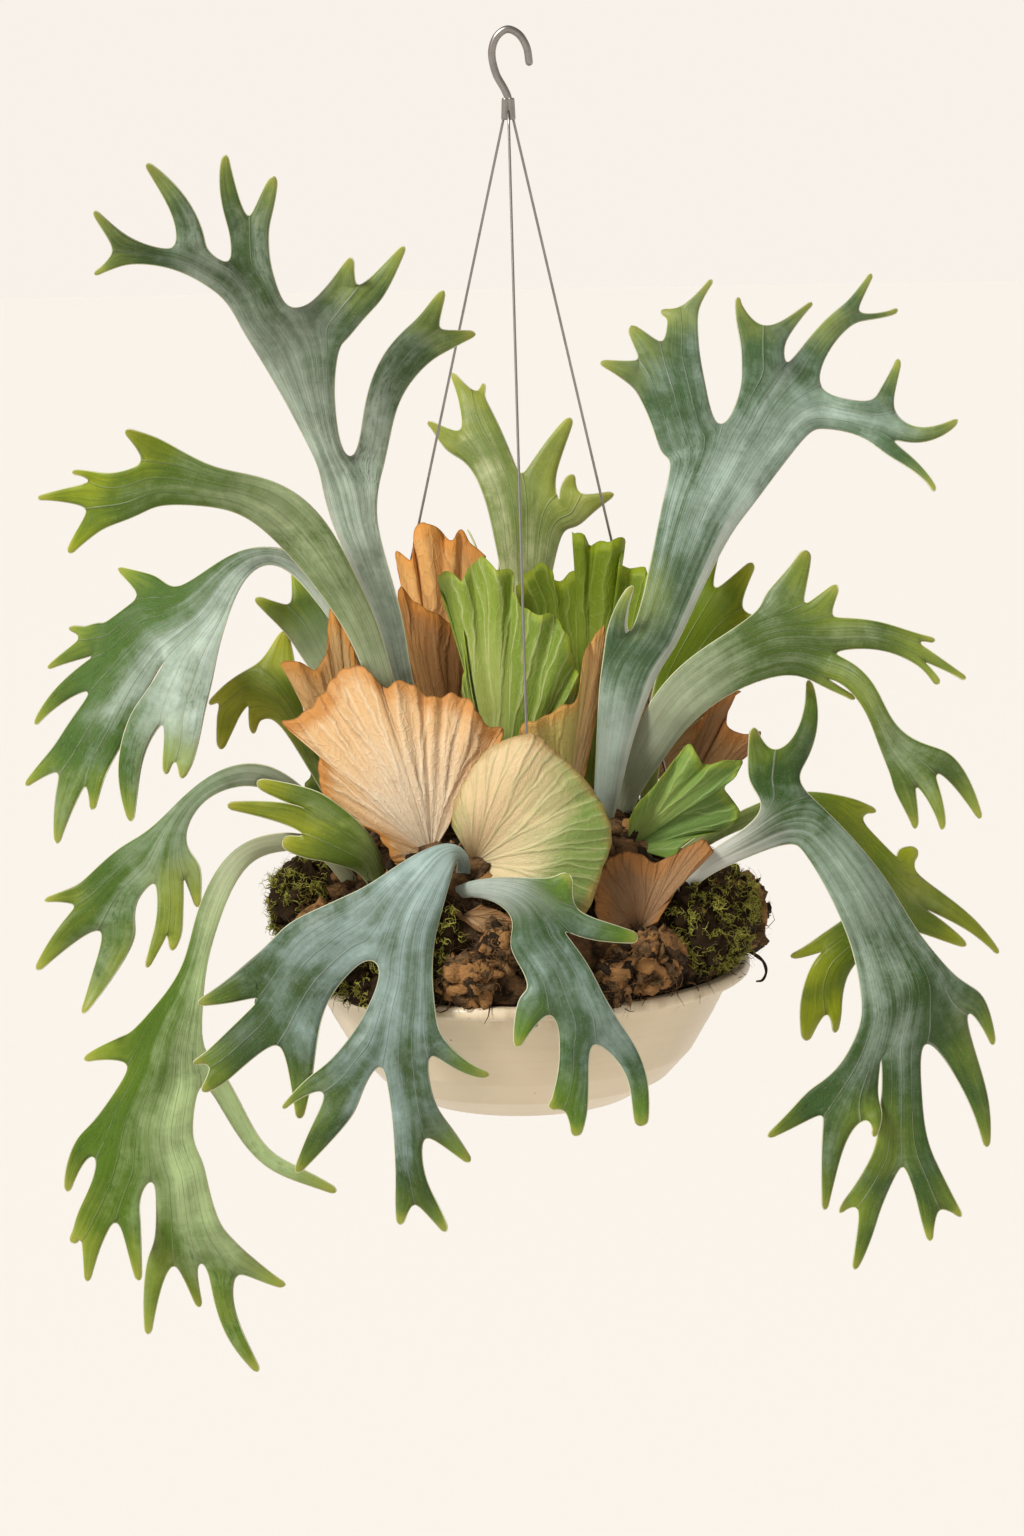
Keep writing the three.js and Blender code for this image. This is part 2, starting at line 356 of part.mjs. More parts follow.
// Shield fronds: a fan from its eye in the root ball, [x, forward], to the points of its waved edge,
// each [right, up, forward]. The bulge is a share of the distance from the eye to the edge.
const shields = {
  shield_tan_left: {
    eye: [-58, 78], bulge: 0.09,
    edge: [[-84, -62, 92], [-98, -40, 86], [-116, -33, 76], [-130, -20, 66], [-134, -2, 60], [-135, 14, 57],
      [-158, 33, 46], [-146, 37, 52], [-132, 50, 56], [-118, 67, 60], [-103, 69, 68], [-90, 56, 72],
      [-80, 59, 74], [-70, 57, 70], [-58, 48, 76], [-44, 50, 72], [-31, 44, 78], [-23, 30, 78],
      [-11, 26, 74], [-14, 15, 82], [-30, -2, 92], [-44, -26, 96]],
  },
  shield_round_front: {
    eye: [-31, 96], bulge: 0.22,
    edge: [[-46, -38, 108], [-44, -22, 112], [-36, -6, 112], [-22, 12, 116], [-6, 20, 116],
      [10, 22, 120], [24, 10, 118], [40, -5, 122], [50, -18, 122], [59, -36, 128], [60, -52, 128],
      [54, -68, 133], [48, -86, 136], [40, -101, 140], [26, -106, 143], [8, -104, 144], [-8, -97, 138],
      [-24, -84, 126]],
  },
  shield_ruffled_green: {
    eye: [-12, 48], bulge: 0.05,
    edge: [[-38, 52, 46], [-35, 76, 44], [-37, 96, 36], [-50, 116, 24], [-51, 131, 22], [-41, 129, 32],
      [-36, 127, 34], [-24, 141, 30], [-13, 133, 42], [-2, 131, 36], [-2, 117, 50], [8, 104, 58],
      [24, 101, 54], [33, 88, 62], [36, 76, 54], [40, 60, 58], [37, 46, 51]],
  },
  shield_brown_left: {
    eye: [-44, 16], bulge: 0.05,
    edge: [[-72, 40, 8], [-78, 80, 0], [-78, 122, -8], [-68, 112, -4], [-56, 105, 2], [-44, 97, 4],
      [-37, 86, 10], [-36, 66, 14], [-38, 45, 18]],
  },
  shield_orange_upright: {
    eye: [-44, -10], bulge: 0.03,
    edge: [[-68, 60, -22], [-74, 110, -30], [-80, 146, -34], [-70, 140, -26], [-67, 160, -32],
      [-60, 165, -24], [-49, 158, -28], [-42, 152, -20], [-37, 160, -26], [-28, 148, -18], [-20, 141, -12],
      [-32, 108, -6], [-36, 60, -4]],
  },
  shield_flap_left: {
    eye: [-104, 30], bulge: 0.03,
    edge: [[-128, -8, 24], [-136, 40, 22], [-146, 62, 22], [-158, 72, 20], [-147, 74, 26], [-136, 68, 26],
      [-128, 78, 20], [-126, 96, 16], [-124, 108, 14], [-112, 88, 20], [-106, 66, 26], [-104, 20, 30]],
  },
  shield_tan_centre: {
    eye: [28, 58], bulge: 0.05,
    edge: [[2, 12, 84], [1, 28, 78], [10, 31, 82], [19, 35, 74], [29, 41, 76], [38, 44, 68], [42, 58, 62],
      [44, 74, 56], [52, 88, 48], [58, 94, 43], [57, 74, 45], [54, 50, 47], [49, 20, 50], [42, -10, 54]],
  },
  shield_green_back: {
    eye: [44, -14], bulge: 0.03,
    edge: [[12, 60, -34], [0, 119, -44], [9, 131, -36], [16, 136, -42], [24, 132, -34], [25, 124, -30],
      [36, 129, -34], [42, 131, -28], [38, 157, -32], [45, 154, -24], [51, 148, -28], [62, 151, -20],
      [73, 150, -26], [69, 135, -18], [78, 132, -22], [87, 131, -16], [84, 100, -12], [76, 50, -10]],
  },
  shield_brown_right: {
    eye: [72, 96], bulge: 0.1,
    edge: [[52, -106, 126], [48, -92, 126], [50, -74, 118], [59, -61, 113], [70, -57, 110], [80, -59, 106],
      [86, -64, 108], [97, -62, 104], [110, -55, 101], [121, -50, 98], [128, -58, 101], [112, -70, 106],
      [100, -88, 113], [90, -104, 120], [72, -110, 126]],
  },
  shield_dried_right: {
    eye: [96, 8], bulge: 0.06,
    edge: [[110, 2, 6], [122, 30, 6], [136, 46, 2], [145, 48, -2], [139, 33, -2],
      [140, 24, 4], [152, 20, 0], [161, 21, -4], [155, 8, -4], [146, 3, 2], [132, -14, 4]],
  },
  shield_tan_under: {
    eye: [-38, 121], bulge: 0.06,
    edge: [[-51, -87, 117], [-45, -95, 126], [-38, -102, 133], [-28, -109, 138], [-16, -112, 140],
      [-6, -113, 142], [-4, -104, 141], [-14, -96, 138], [-28, -91, 132]],
  },
  shield_young_right: {
    eye: [70, 66], bulge: 0.06,
    edge: [[72, -36, 80], [77, -27, 84], [90, -13, 82], [102, 2, 80], [113, 14, 76], [119, 6, 82],
      [122, 0, 78], [135, 2, 82], [148, 2, 76], [144, -8, 80], [136, -16, 72], [142, -24, 70],
      [146, -35, 74], [136, -43, 70], [112, -50, 80], [105, -57, 83], [98, -62, 86]],
  },
};

const backShields = {
  shield_back_round: { like: "shield_round_front", turn: BACK_TURN },
  shield_back_tan: { like: "shield_tan_left", turn: BACK_TURN },
  shield_back_left: { like: "shield_young_right", turn: BACK_TURN },
  shield_back_right: { like: "shield_brown_right", turn: BACK_TURN },
};

// Surfaces: points and faces that look to the front, made solid by a thickness afterwards.
class Surface {
  constructor() {
    this.points = [];
    this.faces = [];
  }

  add(point) {
    this.points.push(place(point));
    return this.points.length - 1;
  }

  // Fills the strip between two rows, each with marks that rise from left to right.
  stitch(a, b) {
    let i = 0;
    let j = 0;
    while (i < a.ids.length - 1 || j < b.ids.length - 1) {
      const nextA = i < a.ids.length - 1 ? a.marks[i + 1] : Infinity;
      const nextB = j < b.ids.length - 1 ? b.marks[j + 1] : Infinity;
      if (nextA <= nextB) {
        this.faces.push([a.ids[i], a.ids[i + 1], b.ids[j]]);
        i += 1;
      } else {
        this.faces.push([a.ids[i], b.ids[j + 1], b.ids[j]]);
        j += 1;
      }
    }
  }
}

function heading(from, to) {
  const along = [to[0] - from[0], to[1] - from[1]];
  const length = Math.hypot(...along) || 1;
  return [along[0] / length, along[1] / length];
}

// The two edge points and the raised middle of a blade at one station.
function crossPoints([right, up, half, forward], [du, dv], lean) {
  const side = [-dv * half, du * half];
  const tilt = lean[0] * side[0] + lean[1] * side[1];
  return {
    left: [right + side[0], up + side[1], forward + tilt],
    middle: [right, up, forward + CAMBER * half],
    right: [right - side[0], up - side[1], forward - tilt],
  };
}

function tipCount(branch) {
  return branch.length === 1 ? 1 : branch.slice(1).reduce((sum, child) => sum + tipCount(child), 0);
}

function swept([stations, ...branches], sweep, origin) {
  const moved = stations.map(([right, up, half, forward]) => {
    const reach = Math.hypot(right - origin[0], up - origin[1]) / SWEEP_REACH;
    return [right, up, half, forward + sweep * reach ** 2];
  });
  return [moved, ...branches.map((branch) => swept(branch, sweep, origin))];
}

function antlerSurface(frond, grow) {
  const surface = new Surface();
  const [x, forward, half] = frond.foot;
  const sink = FOOT_SINK + grow;
  const [right, up] = look(x, forward, domeHeight(Math.hypot(x, forward)) - sink);
  const [stations, ...branches] = frond.tree;
  const tree = swept([[[right, up, half, forward], ...stations], ...branches], frond.sweep, [right, up]);

  function row(points, q0, q1) {
    return { ids: points.map((p) => surface.add(p)), marks: [q0, (q0 + q1) / 2, q1] };
  }

  function growBranch(branch, first, q0, q1) {
    const [line, ...children] = branch;
    let last = first;
    for (let i = 1; i < line.length; i += 1) {
      const next = line[Math.min(i + 1, line.length - 1)];
      const along = heading(line[i - 1], next);
      const isTip = i === line.length - 1 && children.length === 0;
      const width = (isTip ? line[i][2] * 0.6 : line[i][2]) + grow;
      const cross = crossPoints([line[i][0], line[i][1], width, line[i][3]], along, frond.lean);
      const points = row([cross.left, cross.middle, cross.right], q0, q1);
      surface.stitch(last, points);
      last = points;
    }
    if (children.length > 0) {
      fork(line, children, last, q0);
    }
  }

  function fork(line, children, last, q0) {
    const end = line[line.length - 1];
    const along = heading(line[line.length - 2], end);
    const bearing = (child) => {
      const out = heading(end, child[0][0]);
      return Math.atan2(along[0] * out[1] - along[1] * out[0], along[0] * out[0] + along[1] * out[1]);
    };
    const ordered = [...children].sort((a, b) => bearing(b) - bearing(a));
    const crosses = ordered.map(([stationsOf]) => {
      const [s0, s1] = stationsOf;
      return crossPoints([s0[0], s0[1], s0[2] + grow, s0[3]], heading(s0, s1), frond.lean);
    });
    const ids = [surface.add(crosses[0].left)];
    const marks = [q0];
    const firstRows = [];
    let q = q0;
    ordered.forEach((child, k) => {
      const qNext = q + tipCount(child);
      const isLast = k === ordered.length - 1;
      const inner = isLast ? crosses[k].right
        : crosses[k].right.map((value, axis) => (value + crosses[k + 1].left[axis]) / 2);
      const middle = surface.add(crosses[k].middle);
      const rightEdge = surface.add(inner);
      firstRows.push({ ids: [ids[ids.length - 1], middle, rightEdge], marks: [q, (q + qNext) / 2, qNext] });
      ids.push(middle, rightEdge);
      marks.push((q + qNext) / 2, qNext);
      q = qNext;
    });
    surface.stitch(last, { ids, marks });
    ordered.forEach((child, k) => {
      const { marks: m } = firstRows[k];
      growBranch(child, firstRows[k], m[0], m[2]);
    });
  }

  const start = crossPoints([right, up, half + grow, forward], heading(tree[0][0], tree[0][1]), frond.lean);
  growBranch(tree, row([start.left, start.middle, start.right], 0, tipCount(tree)), 0, tipCount(tree));
  return surface;
}

// A fan that is to cut a hole opens a little further at its first and last spoke.
function fanEdge(edge, eye, grow) {
  if (grow === 0) {
    return edge;
  }
  const turned = ([u, v, f], angle) => [
    eye[0] + (u - eye[0]) * Math.cos(angle) - (v - eye[1]) * Math.sin(angle),
    eye[1] + (u - eye[0]) * Math.sin(angle) + (v - eye[1]) * Math.cos(angle),
    f,
  ];
  return [turned(edge[0], FAN_SPREAD), ...edge, turned(edge[edge.length - 1], -FAN_SPREAD)];
}

// The spokes of a fan, turned apart until each lies a little past the one before, so that it never folds.
function fanSpokes(edge, eye) {
  const bearings = [];
  edge.forEach(([u, v], i) => {
    const bearing = Math.atan2(v - eye[1], u - eye[0]);
    const before = i > 0 ? bearings[i - 1] : Math.PI / 2;
    bearings.push(bearing - 2 * Math.PI * Math.round((bearing - before) / (2 * Math.PI)));
  });
  const way = Math.sign(bearings[bearings.length - 1] - bearings[0]);
  for (let pass = 0; pass < SPOKE_PASSES; pass += 1) {
    for (let i = 1; i < bearings.length; i += 1) {
      const short = Math.max(SPOKE_STEP - way * (bearings[i] - bearings[i - 1]), 0);
      bearings[i - 1] -= (way * short) / 2;
      bearings[i] += (way * short) / 2;
    }
  }
  const reaches = edge.map(([u, v]) => Math.hypot(u - eye[0], v - eye[1]));
  const forwards = edge.map((p) => p[2] - eye[2]);
  return edge.map((p, i) => ({
    bearing: bearings[i], reach: evenShare(reaches, i), forward: evenShare(forwards, i),
  }));
}

// A value parted in what it shares with its neighbours and what is its own.
function evenShare(values, i) {
  const before = values[Math.max(i - 1, 0)];
  const after = values[Math.min(i + 1, values.length - 1)];
  const shared = (before + 2 * values[i] + after) / 4;
  return { shared, own: values[i] - shared };
}

// A fan in three rings round its eye. Its ruffles grow towards the edge, with the cube of the ring.
function shieldSurface(shield, grow) {
  const surface = new Surface();
  const [x, forward] = shield.eye;
  const eye = look(x, forward, domeHeight(Math.hypot(x, forward)) - EYE_SINK);
  const spokes = fanSpokes(fanEdge(shield.edge, eye, grow), eye);
  const centre = surface.add(eye);
  let inner = null;
  for (const r of [0.38, 0.72, 1]) {
    const ids = spokes.map((spoke) => {
      const reach = spoke.reach.shared * r + spoke.reach.own * r ** 3;
      const rise = shield.bulge * (spoke.reach.shared + spoke.reach.own) * Math.sin(Math.PI * r);
      const along = spoke.forward.shared * r + spoke.forward.own * r ** 3;
      return surface.add([
        eye[0] + reach * Math.cos(spoke.bearing), eye[1] + reach * Math.sin(spoke.bearing), eye[2] + along + rise,
      ]);
    });
    for (let i = 0; i < ids.length - 1; i += 1) {
      if (inner === null) {
        surface.faces.push([centre, ids[i + 1], ids[i]]);
      } else {
        surface.faces.push([inner[i], inner[i + 1], ids[i]], [inner[i + 1], ids[i + 1], ids[i]]);
      }
    }
    inner = ids;
  }
  return surface;
}

// Gives a surface its thickness: both faces lie half of it away, and a wall closes every open edge.
function thicken(surface, thickness, turn = 0) {
  const spin = new THREE.Matrix4().makeRotationZ(THREE.MathUtils.degToRad(turn));
  const { points, faces } = surface;
  const normals = points.map(() => new THREE.Vector3());
  for (const [a, b, c] of faces) {
    const ab = new THREE.Vector3().subVectors(points[b], points[a]);
    const ac = new THREE.Vector3().subVectors(points[c], points[a]);
    const normal = ab.cross(ac);
    normals[a].add(normal);
    normals[b].add(normal);
    normals[c].add(normal);
  }
  const count = points.length;
  const positions = [];
  for (const side of [1, -1]) {
    points.forEach((p, i) => {
      const q = normals[i].clone().normalize().multiplyScalar((side * thickness) / 2).add(p);
      positions.push(...q.applyMatrix4(spin).toArray());
    });
  }
  const index = [];
  const open = new Map();
  for (const [a, b, c] of faces) {
    index.push(a, b, c, count + a, count + c, count + b);
    for (const [p, q] of [[a, b], [b, c], [c, a]]) {
      if (!open.delete(`${q},${p}`)) {
        open.set(`${p},${q}`, [p, q]);
      }
    }
  }
  for (const [p, q] of open.values()) {
    index.push(q, p, count + p, q, count + p, count + q);
  }
  const geometry = new THREE.BufferGeometry();
  geometry.setAttribute("position", new THREE.Float32BufferAttribute(positions, 3));
  geometry.setIndex(index);
  return geometry;
}

// Solids
function toManifold(geometry) {
  const bare = geometry.clone();
  bare.deleteAttribute("normal");
  bare.deleteAttribute("uv");
  const merged = mergeVertices(bare, 1e-3);
  const corners = merged.index.array;
  const kept = [];
  for (let i = 0; i < corners.length; i += 3) {
    const [a, b, c] = [corners[i], corners[i + 1], corners[i + 2]];
    if (a !== b && b !== c && c !== a) {
      kept.push(a, b, c);
    }
  }
  return new wasm.Manifold(new wasm.Mesh({
    numProp: 3,
    vertProperties: new Float32Array(merged.attributes.position.array),
    triVerts: new Uint32Array(kept),
  }));
}

function toGeometry(solid) {
  const mesh = solid.getMesh();
  const geometry = new THREE.BufferGeometry();
  geometry.setAttribute("position", new THREE.BufferAttribute(new Float32Array(mesh.vertProperties), 3));
  geometry.setIndex(new THREE.BufferAttribute(new Uint32Array(mesh.triVerts), 1));
  return geometry;
}

function largest(solid) {
  return solid.decompose().sort((a, b) => b.volume() - a.volume())[0];
}

function lathe(profile, sides) {
  const geometry = new THREE.LatheGeometry(profile.map(([r, z]) => new THREE.Vector2(r, z)), sides);
  return geometry.rotateX(Math.PI / 2);
}

// Smooth unevenness between -1 and 1, the same each time.
function unevenness(x, y, z) {
  return (Math.sin(1.7 * x + 0.9 * y + 0.4) * Math.cos(1.3 * z - 0.7 * x + 1.1)
    + Math.sin(2.1 * y - 1.2 * z + 2.3) * 0.6 + Math.sin(3.7 * x + 2.9 * z) * 0.4) / 2;
}

function lump(tuft, grow = 0) {
  const [x, y, z] = tuft.at;
  const radii = new THREE.Vector3(...tuft.radii).addScalar(grow);
  const geometry = new THREE.IcosahedronGeometry(1, TUFT_DETAIL);
  geometry.deleteAttribute("normal");
  geometry.deleteAttribute("uv");
  const merged = mergeVertices(geometry, 1e-4);
  const position = merged.attributes.position;
  const turn = new THREE.Matrix4().makeRotationZ(THREE.MathUtils.degToRad(tuft.turn));
  for (let i = 0; i < position.count; i += 1) {
    const p = new THREE.Vector3().fromBufferAttribute(position, i);
    const q = p.clone().multiplyScalar(tuft.grain);
    const swell = 1 + tuft.rough * unevenness(q.x + x, q.y + y, q.z + z);
    p.multiplyScalar(swell).multiply(radii).applyMatrix4(turn);
    position.setXYZ(i, p.x + x, p.y + y, p.z + z);
  }
  return toManifold(merged);
}

// Bowl: outer wall, rolled lip and inner wall
function innerWall(offset) {
  return [[LIP_INNER - 6 - offset, -LIP_HEIGHT], [122 - offset, -36], [108 - offset, -56],
    [90 - offset, -72], [68 - offset, -84], [0, -BOWL_DEPTH + WALL + offset]];
}

function bowlSolid() {
  const profile = [[0, -BOWL_DEPTH], [FOOT_RADIUS, -BOWL_DEPTH], [74, -90.5], [98, -76.5], [114, -59],
    [128, -34.5], [NECK_RADIUS, -LIP_HEIGHT - 0.5], [RIM_RADIUS - 2, -LIP_HEIGHT],
    [RIM_RADIUS, -LIP_HEIGHT + 2.5], [RIM_RADIUS, -2.5], [RIM_RADIUS - 2, 0], [LIP_INNER, 0], ...innerWall(0)];
  return toManifold(lathe(profile, BOWL_SIDES));
}

// Everything that the bowl fills, up to just above its rim
function bowlEnvelope() {
  const out = GAP + 0.1;
  return toManifold(lathe([[0, -BOWL_DEPTH - out], [FOOT_RADIUS + out, -BOWL_DEPTH - out], [102 + out, -73],
    [130 + out, -31], [NECK_RADIUS + out, -LIP_HEIGHT - 1], [RIM_RADIUS + out, -LIP_HEIGHT - out],
    [RIM_RADIUS + out, out], [0, out]], BOWL_SIDES));
}

// The root ball fills the bowl and stands up as a dome with an uneven surface that only sinks inward.
function rootBallGeometry(grow) {
  const inside = innerWall(ROOT_CLEAR).reverse();
  const dome = [1, 0.985, 0.95, 0.89, 0.8, 0.68, 0.53, 0.36, 0.18, 0].map((q) => [
    q * DOME_RADIUS, domeHeight(q * DOME_RADIUS)]);
  const geometry = lathe([...inside, ...dome], ROOT_SIDES);
  geometry.deleteAttribute("normal");
  geometry.deleteAttribute("uv");
  const merged = mergeVertices(geometry, 1e-3);
  const position = merged.attributes.position;
  for (let i = 0; i < position.count; i += 1) {
    const p = new THREE.Vector3().fromBufferAttribute(position, i);
    if (p.z > -1) {
      const sunk = ROOT_RELIEF * (1 + unevenness(p.x / 9, p.y / 9, p.z / 9)) - grow;
      const out = new THREE.Vector3(p.x, p.y, p.z * 1.4).normalize();
      p.addScaledVector(out, -sunk);
      position.setXYZ(i, p.x, p.y, p.z);
    }
  }
  return merged;
}

function rod(path, steps, radius, sides) {
  const circle = new THREE.Shape();
  circle.absarc(0, 0, radius, 0, Math.PI * 2);
  return toManifold(new THREE.ExtrudeGeometry(circle, {
    extrudePath: path, steps, curveSegments: sides / 2, bevelEnabled: false,
  }));
}

function hookSolid(radius) {
  const crown = HOOK_SEAT + ROD_RADIUS;
  const line = [[14, crown - 21], [12.5, crown - 11.5], [7.5, crown - 3.2], [0, crown], [-7, crown - 5],
    [-10, crown - 15], [-7.5, crown - 28], [-2.2, crown - 38], [0, FERRULE_TOP], [0, FERRULE_TOP - 6]];
  const curve = new THREE.CatmullRomCurve3(line.map(([x, z]) => new THREE.Vector3(x, 0, z)));
  return rod(curve, HOOK_STEPS, radius, ROD_SIDES);
}

function wireEnds(azimuth) {
  const angle = THREE.MathUtils.degToRad(azimuth);
  const at = (radius, z) => new THREE.Vector3(radius * Math.cos(angle), radius * Math.sin(angle), z);
  const top = FERRULE_BOTTOM + 6;
  const start = at(2.2, top);
  const rim = at(WIRE_HOLE_RADIUS, 0);
  const below = rim.clone().addScaledVector(rim.clone().sub(start).normalize(), LIP_HEIGHT + 4);
  return { start, below };
}

function wireSolid(azimuth, grow) {
  const { start, below } = wireEnds(azimuth);
  const wire = rod(new THREE.LineCurve3(start, below), 1, WIRE_RADIUS + grow, WIRE_SIDES);
  if (grow > 0) {
    return wire;
  }
  const stop = new THREE.IcosahedronGeometry(2.1, 1).translate(below.x, below.y, below.z);
  return wire.add(toManifold(stop));
}

function ferruleSolid() {
  const profile = [[0, FERRULE_BOTTOM], [4.6, FERRULE_BOTTOM], [4.4, FERRULE_BOTTOM + 6],
    [3.6, FERRULE_TOP], [0, FERRULE_TOP]];
  return toManifold(lathe(profile, 14));
}

function curledRoot(points, grow) {
  const curve = new THREE.CatmullRomCurve3(points.map((p) => new THREE.Vector3(...p)));
  return rod(curve, CURL_STEPS, CURL_RADIUS + grow, WIRE_SIDES);
}

// Materials
const finish = {
  ceramic: new THREE.MeshStandardMaterial({ color: "#ddd3c2", roughness: 0.45 }),
  steel: new THREE.MeshStandardMaterial({ color: "#8d8a86", roughness: 0.35, metalness: 1 }),
  roots: new THREE.MeshStandardMaterial({ color: "#3b2818", roughness: 0.95 }),
  moss: new THREE.MeshStandardMaterial({ color: "#76762a", roughness: 1 }),
  bark: new THREE.MeshStandardMaterial({ color: "#7a5238", roughness: 0.95 }),
  antler: new THREE.MeshStandardMaterial({ color: "#7d9468", roughness: 0.6 }),
  young: new THREE.MeshStandardMaterial({ color: "#9aa83c", roughness: 0.55 }),
  tan: new THREE.MeshStandardMaterial({ color: "#c98f5c", roughness: 0.75 }),
  brown: new THREE.MeshStandardMaterial({ color: "#8a5a34", roughness: 0.8 }),
};

const youngAntlers = ["antler_left_young", "antler_right_bright", "antler_left_pale"];
const greenShields = ["shield_round_front", "shield_ruffled_green", "shield_green_back",
  "shield_young_right", "shield_back_round", "shield_back_left"];
const brownShields = ["shield_brown_left", "shield_brown_right", "shield_dried_right", "shield_back_right"];

const fern = new THREE.Group();
fern.position.z = -HOOK_SEAT;

function addMesh(name, geometry, material) {
  const mesh = new THREE.Mesh(geometry, material);
  mesh.name = name;
  fern.add(mesh);
}

// Every frond, with the slightly larger form that keeps its neighbours away
const clearances = [];

function addAntler(name, frond, turn, material) {
  addMesh(name, thicken(antlerSurface(frond, 0), ANTLER_THICKNESS, turn), material);
  clearances.push(toManifold(thicken(antlerSurface(frond, GAP), ANTLER_THICKNESS + 2 * GAP, turn)));
}

function addShield(name, shield, turn, material) {
  addMesh(name, thicken(shieldSurface(shield, 0), SHIELD_THICKNESS, turn), material);
  clearances.push(toManifold(thicken(shieldSurface(shield, GAP), SHIELD_THICKNESS + 4 * GAP, turn)));
}

for (const [name, frond] of Object.entries(antlers)) {
  addAntler(name, frond, 0, youngAntlers.includes(name) ? finish.young : finish.antler);
}
for (const [name, { like, turn }] of Object.entries(backAntlers)) {
  addAntler(name, antlers[like], turn, finish.antler);
}

function shieldFinish(name) {
  if (greenShields.includes(name)) {
    return finish.young;
  }
  return brownShields.includes(name) ? finish.brown : finish.tan;
}

for (const [name, shield] of Object.entries(shields)) {
  addShield(name, shield, 0, shieldFinish(name));
}
for (const [name, { like, turn }] of Object.entries(backShields)) {
  addShield(name, shields[like], turn, shieldFinish(name));
}

// Suspension
let ferrule = ferruleSolid().subtract(hookSolid(ROD_RADIUS + GAP));
let bowl = bowlSolid();
for (const azimuth of Object.values(WIRE_AZIMUTHS)) {
  const hole = wireSolid(azimuth, GAP);
  ferrule = ferrule.subtract(hole);
  bowl = bowl.subtract(hole);
}
addMesh("hook", toGeometry(hookSolid(ROD_RADIUS)), finish.steel);
addMesh("ferrule", toGeometry(ferrule), finish.steel);
for (const [side, azimuth] of Object.entries(WIRE_AZIMUTHS)) {
  addMesh(`wire_${side}`, toGeometry(wireSolid(azimuth, 0)), finish.steel);
}
addMesh("bowl", toGeometry(bowl), finish.ceramic);

// Root ball with a hole for each foot
let rootBall = toManifold(rootBallGeometry(0));
const around = toManifold(rootBallGeometry(GAP));
for (const clearance of clearances) {
  for (const foot of clearance.intersect(around).decompose()) {
    rootBall = rootBall.subtract(foot.hull());
  }
}
addMesh("root_ball", toGeometry(largest(rootBall)), finish.roots);

// What lies on the root ball leaves room for everything that it touches.
let cutter = around.add(bowlEnvelope());
for (const azimuth of Object.values(WIRE_AZIMUTHS)) {
  cutter = cutter.add(wireSolid(azimuth, GAP));
}
for (const points of Object.values(curls)) {
  cutter = cutter.add(curledRoot(points, GAP));
}
for (const clearance of clearances) {
  cutter = cutter.add(clearance);
}
for (const [name, tuft] of Object.entries(tufts)) {
  const solid = largest(lump(tuft).subtract(cutter)).simplify(FLAT_ENOUGH);
  cutter = cutter.add(lump(tuft, GAP));
  addMesh(name, toGeometry(solid), finish[tuft.kind]);
}
for (const [name, points] of Object.entries(curls)) {
  addMesh(name, toGeometry(curledRoot(points, 0)), finish.bark);
}

export default fern;
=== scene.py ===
"""A staghorn fern in a hanging bowl, with its hook and wires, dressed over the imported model."""

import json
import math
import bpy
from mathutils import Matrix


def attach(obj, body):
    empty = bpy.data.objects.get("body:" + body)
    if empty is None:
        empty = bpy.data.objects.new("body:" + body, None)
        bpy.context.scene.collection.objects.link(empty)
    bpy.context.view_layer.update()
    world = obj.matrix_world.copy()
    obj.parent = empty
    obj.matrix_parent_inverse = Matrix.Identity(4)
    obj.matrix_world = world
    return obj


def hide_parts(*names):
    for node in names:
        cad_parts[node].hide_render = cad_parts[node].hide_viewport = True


bl_info = {
    "name": "Staghorn fern in a hanging bowl",
    "version": (1, 0, 0),
    "blender": (4, 5, 0),
    "location": "View3D > Sidebar > Fern",
    "description": "Makes the fern, its bowl and hanger, and the studio they are seen in",
    "category": "Add Mesh",
}

import bpy
import numpy as np
from mathutils import Quaternion, Vector

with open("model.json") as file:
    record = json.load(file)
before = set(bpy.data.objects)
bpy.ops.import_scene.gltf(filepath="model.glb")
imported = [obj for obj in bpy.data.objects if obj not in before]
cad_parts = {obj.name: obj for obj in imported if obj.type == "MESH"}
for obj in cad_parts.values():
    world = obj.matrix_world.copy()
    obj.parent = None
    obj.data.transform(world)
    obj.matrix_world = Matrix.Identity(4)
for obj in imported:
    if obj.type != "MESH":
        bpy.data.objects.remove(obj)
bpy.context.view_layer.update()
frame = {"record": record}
SLOTS = {row["node"]: row["material_slot"] for row in frame["record"]["subparts"]}

MM = 0.001
TURN = 2 * math.pi

# Sizes of the holder, in millimetres. Heights count from the plane of the bowl's rim.
HOOK_SEAT = 609.0
DOME_RADIUS = 141.0
DOME_HEIGHT = 105.0
ROD_RADIUS = 2.5
WIRE_RADIUS = 0.9
WIRE_HOLE_RADIUS = 148.3
WIRE_AZIMUTHS = {"wire_front": -87.5, "wire_left": 152.5, "wire_right": 32.5}
WIRE_RADII = [2.2, WIRE_HOLE_RADIUS, WIRE_HOLE_RADIUS]
WIRE_HEIGHTS = [560, 0, -12]
STOP_PROFILE = [(0, -12.6), (1.5, -12.6), (2.1, -12), (2.1, -9.6), (1.4, -9.2), (0, -9.1)]
BOWL_PROFILE = [(0, -95), (48, -95), (74, -90.5), (98, -76.5), (114, -59), (128, -34.5), (139.6, -11.5),
                (141.8, -8.7), (150.5, -8.5), (152.5, -6), (152.5, -2.5), (150.5, 0), (144, 0), (138, -8.5),
                (122, -36), (108, -56), (90, -72), (68, -84), (0, -90)]
HOOK_LINE = [(14, 590.5), (12.5, 600), (7.5, 608.3), (0, 611.5), (-7, 606.5), (-10, 596.5), (-7.5, 583.5),
             (-2.2, 573.5), (0, 568), (0, 562)]
FERRULE_PROFILE = [(0, 554), (4.2, 554), (4.7, 554.6), (4.5, 560), (4.2, 567.2), (3.8, 568), (0, 568.2)]
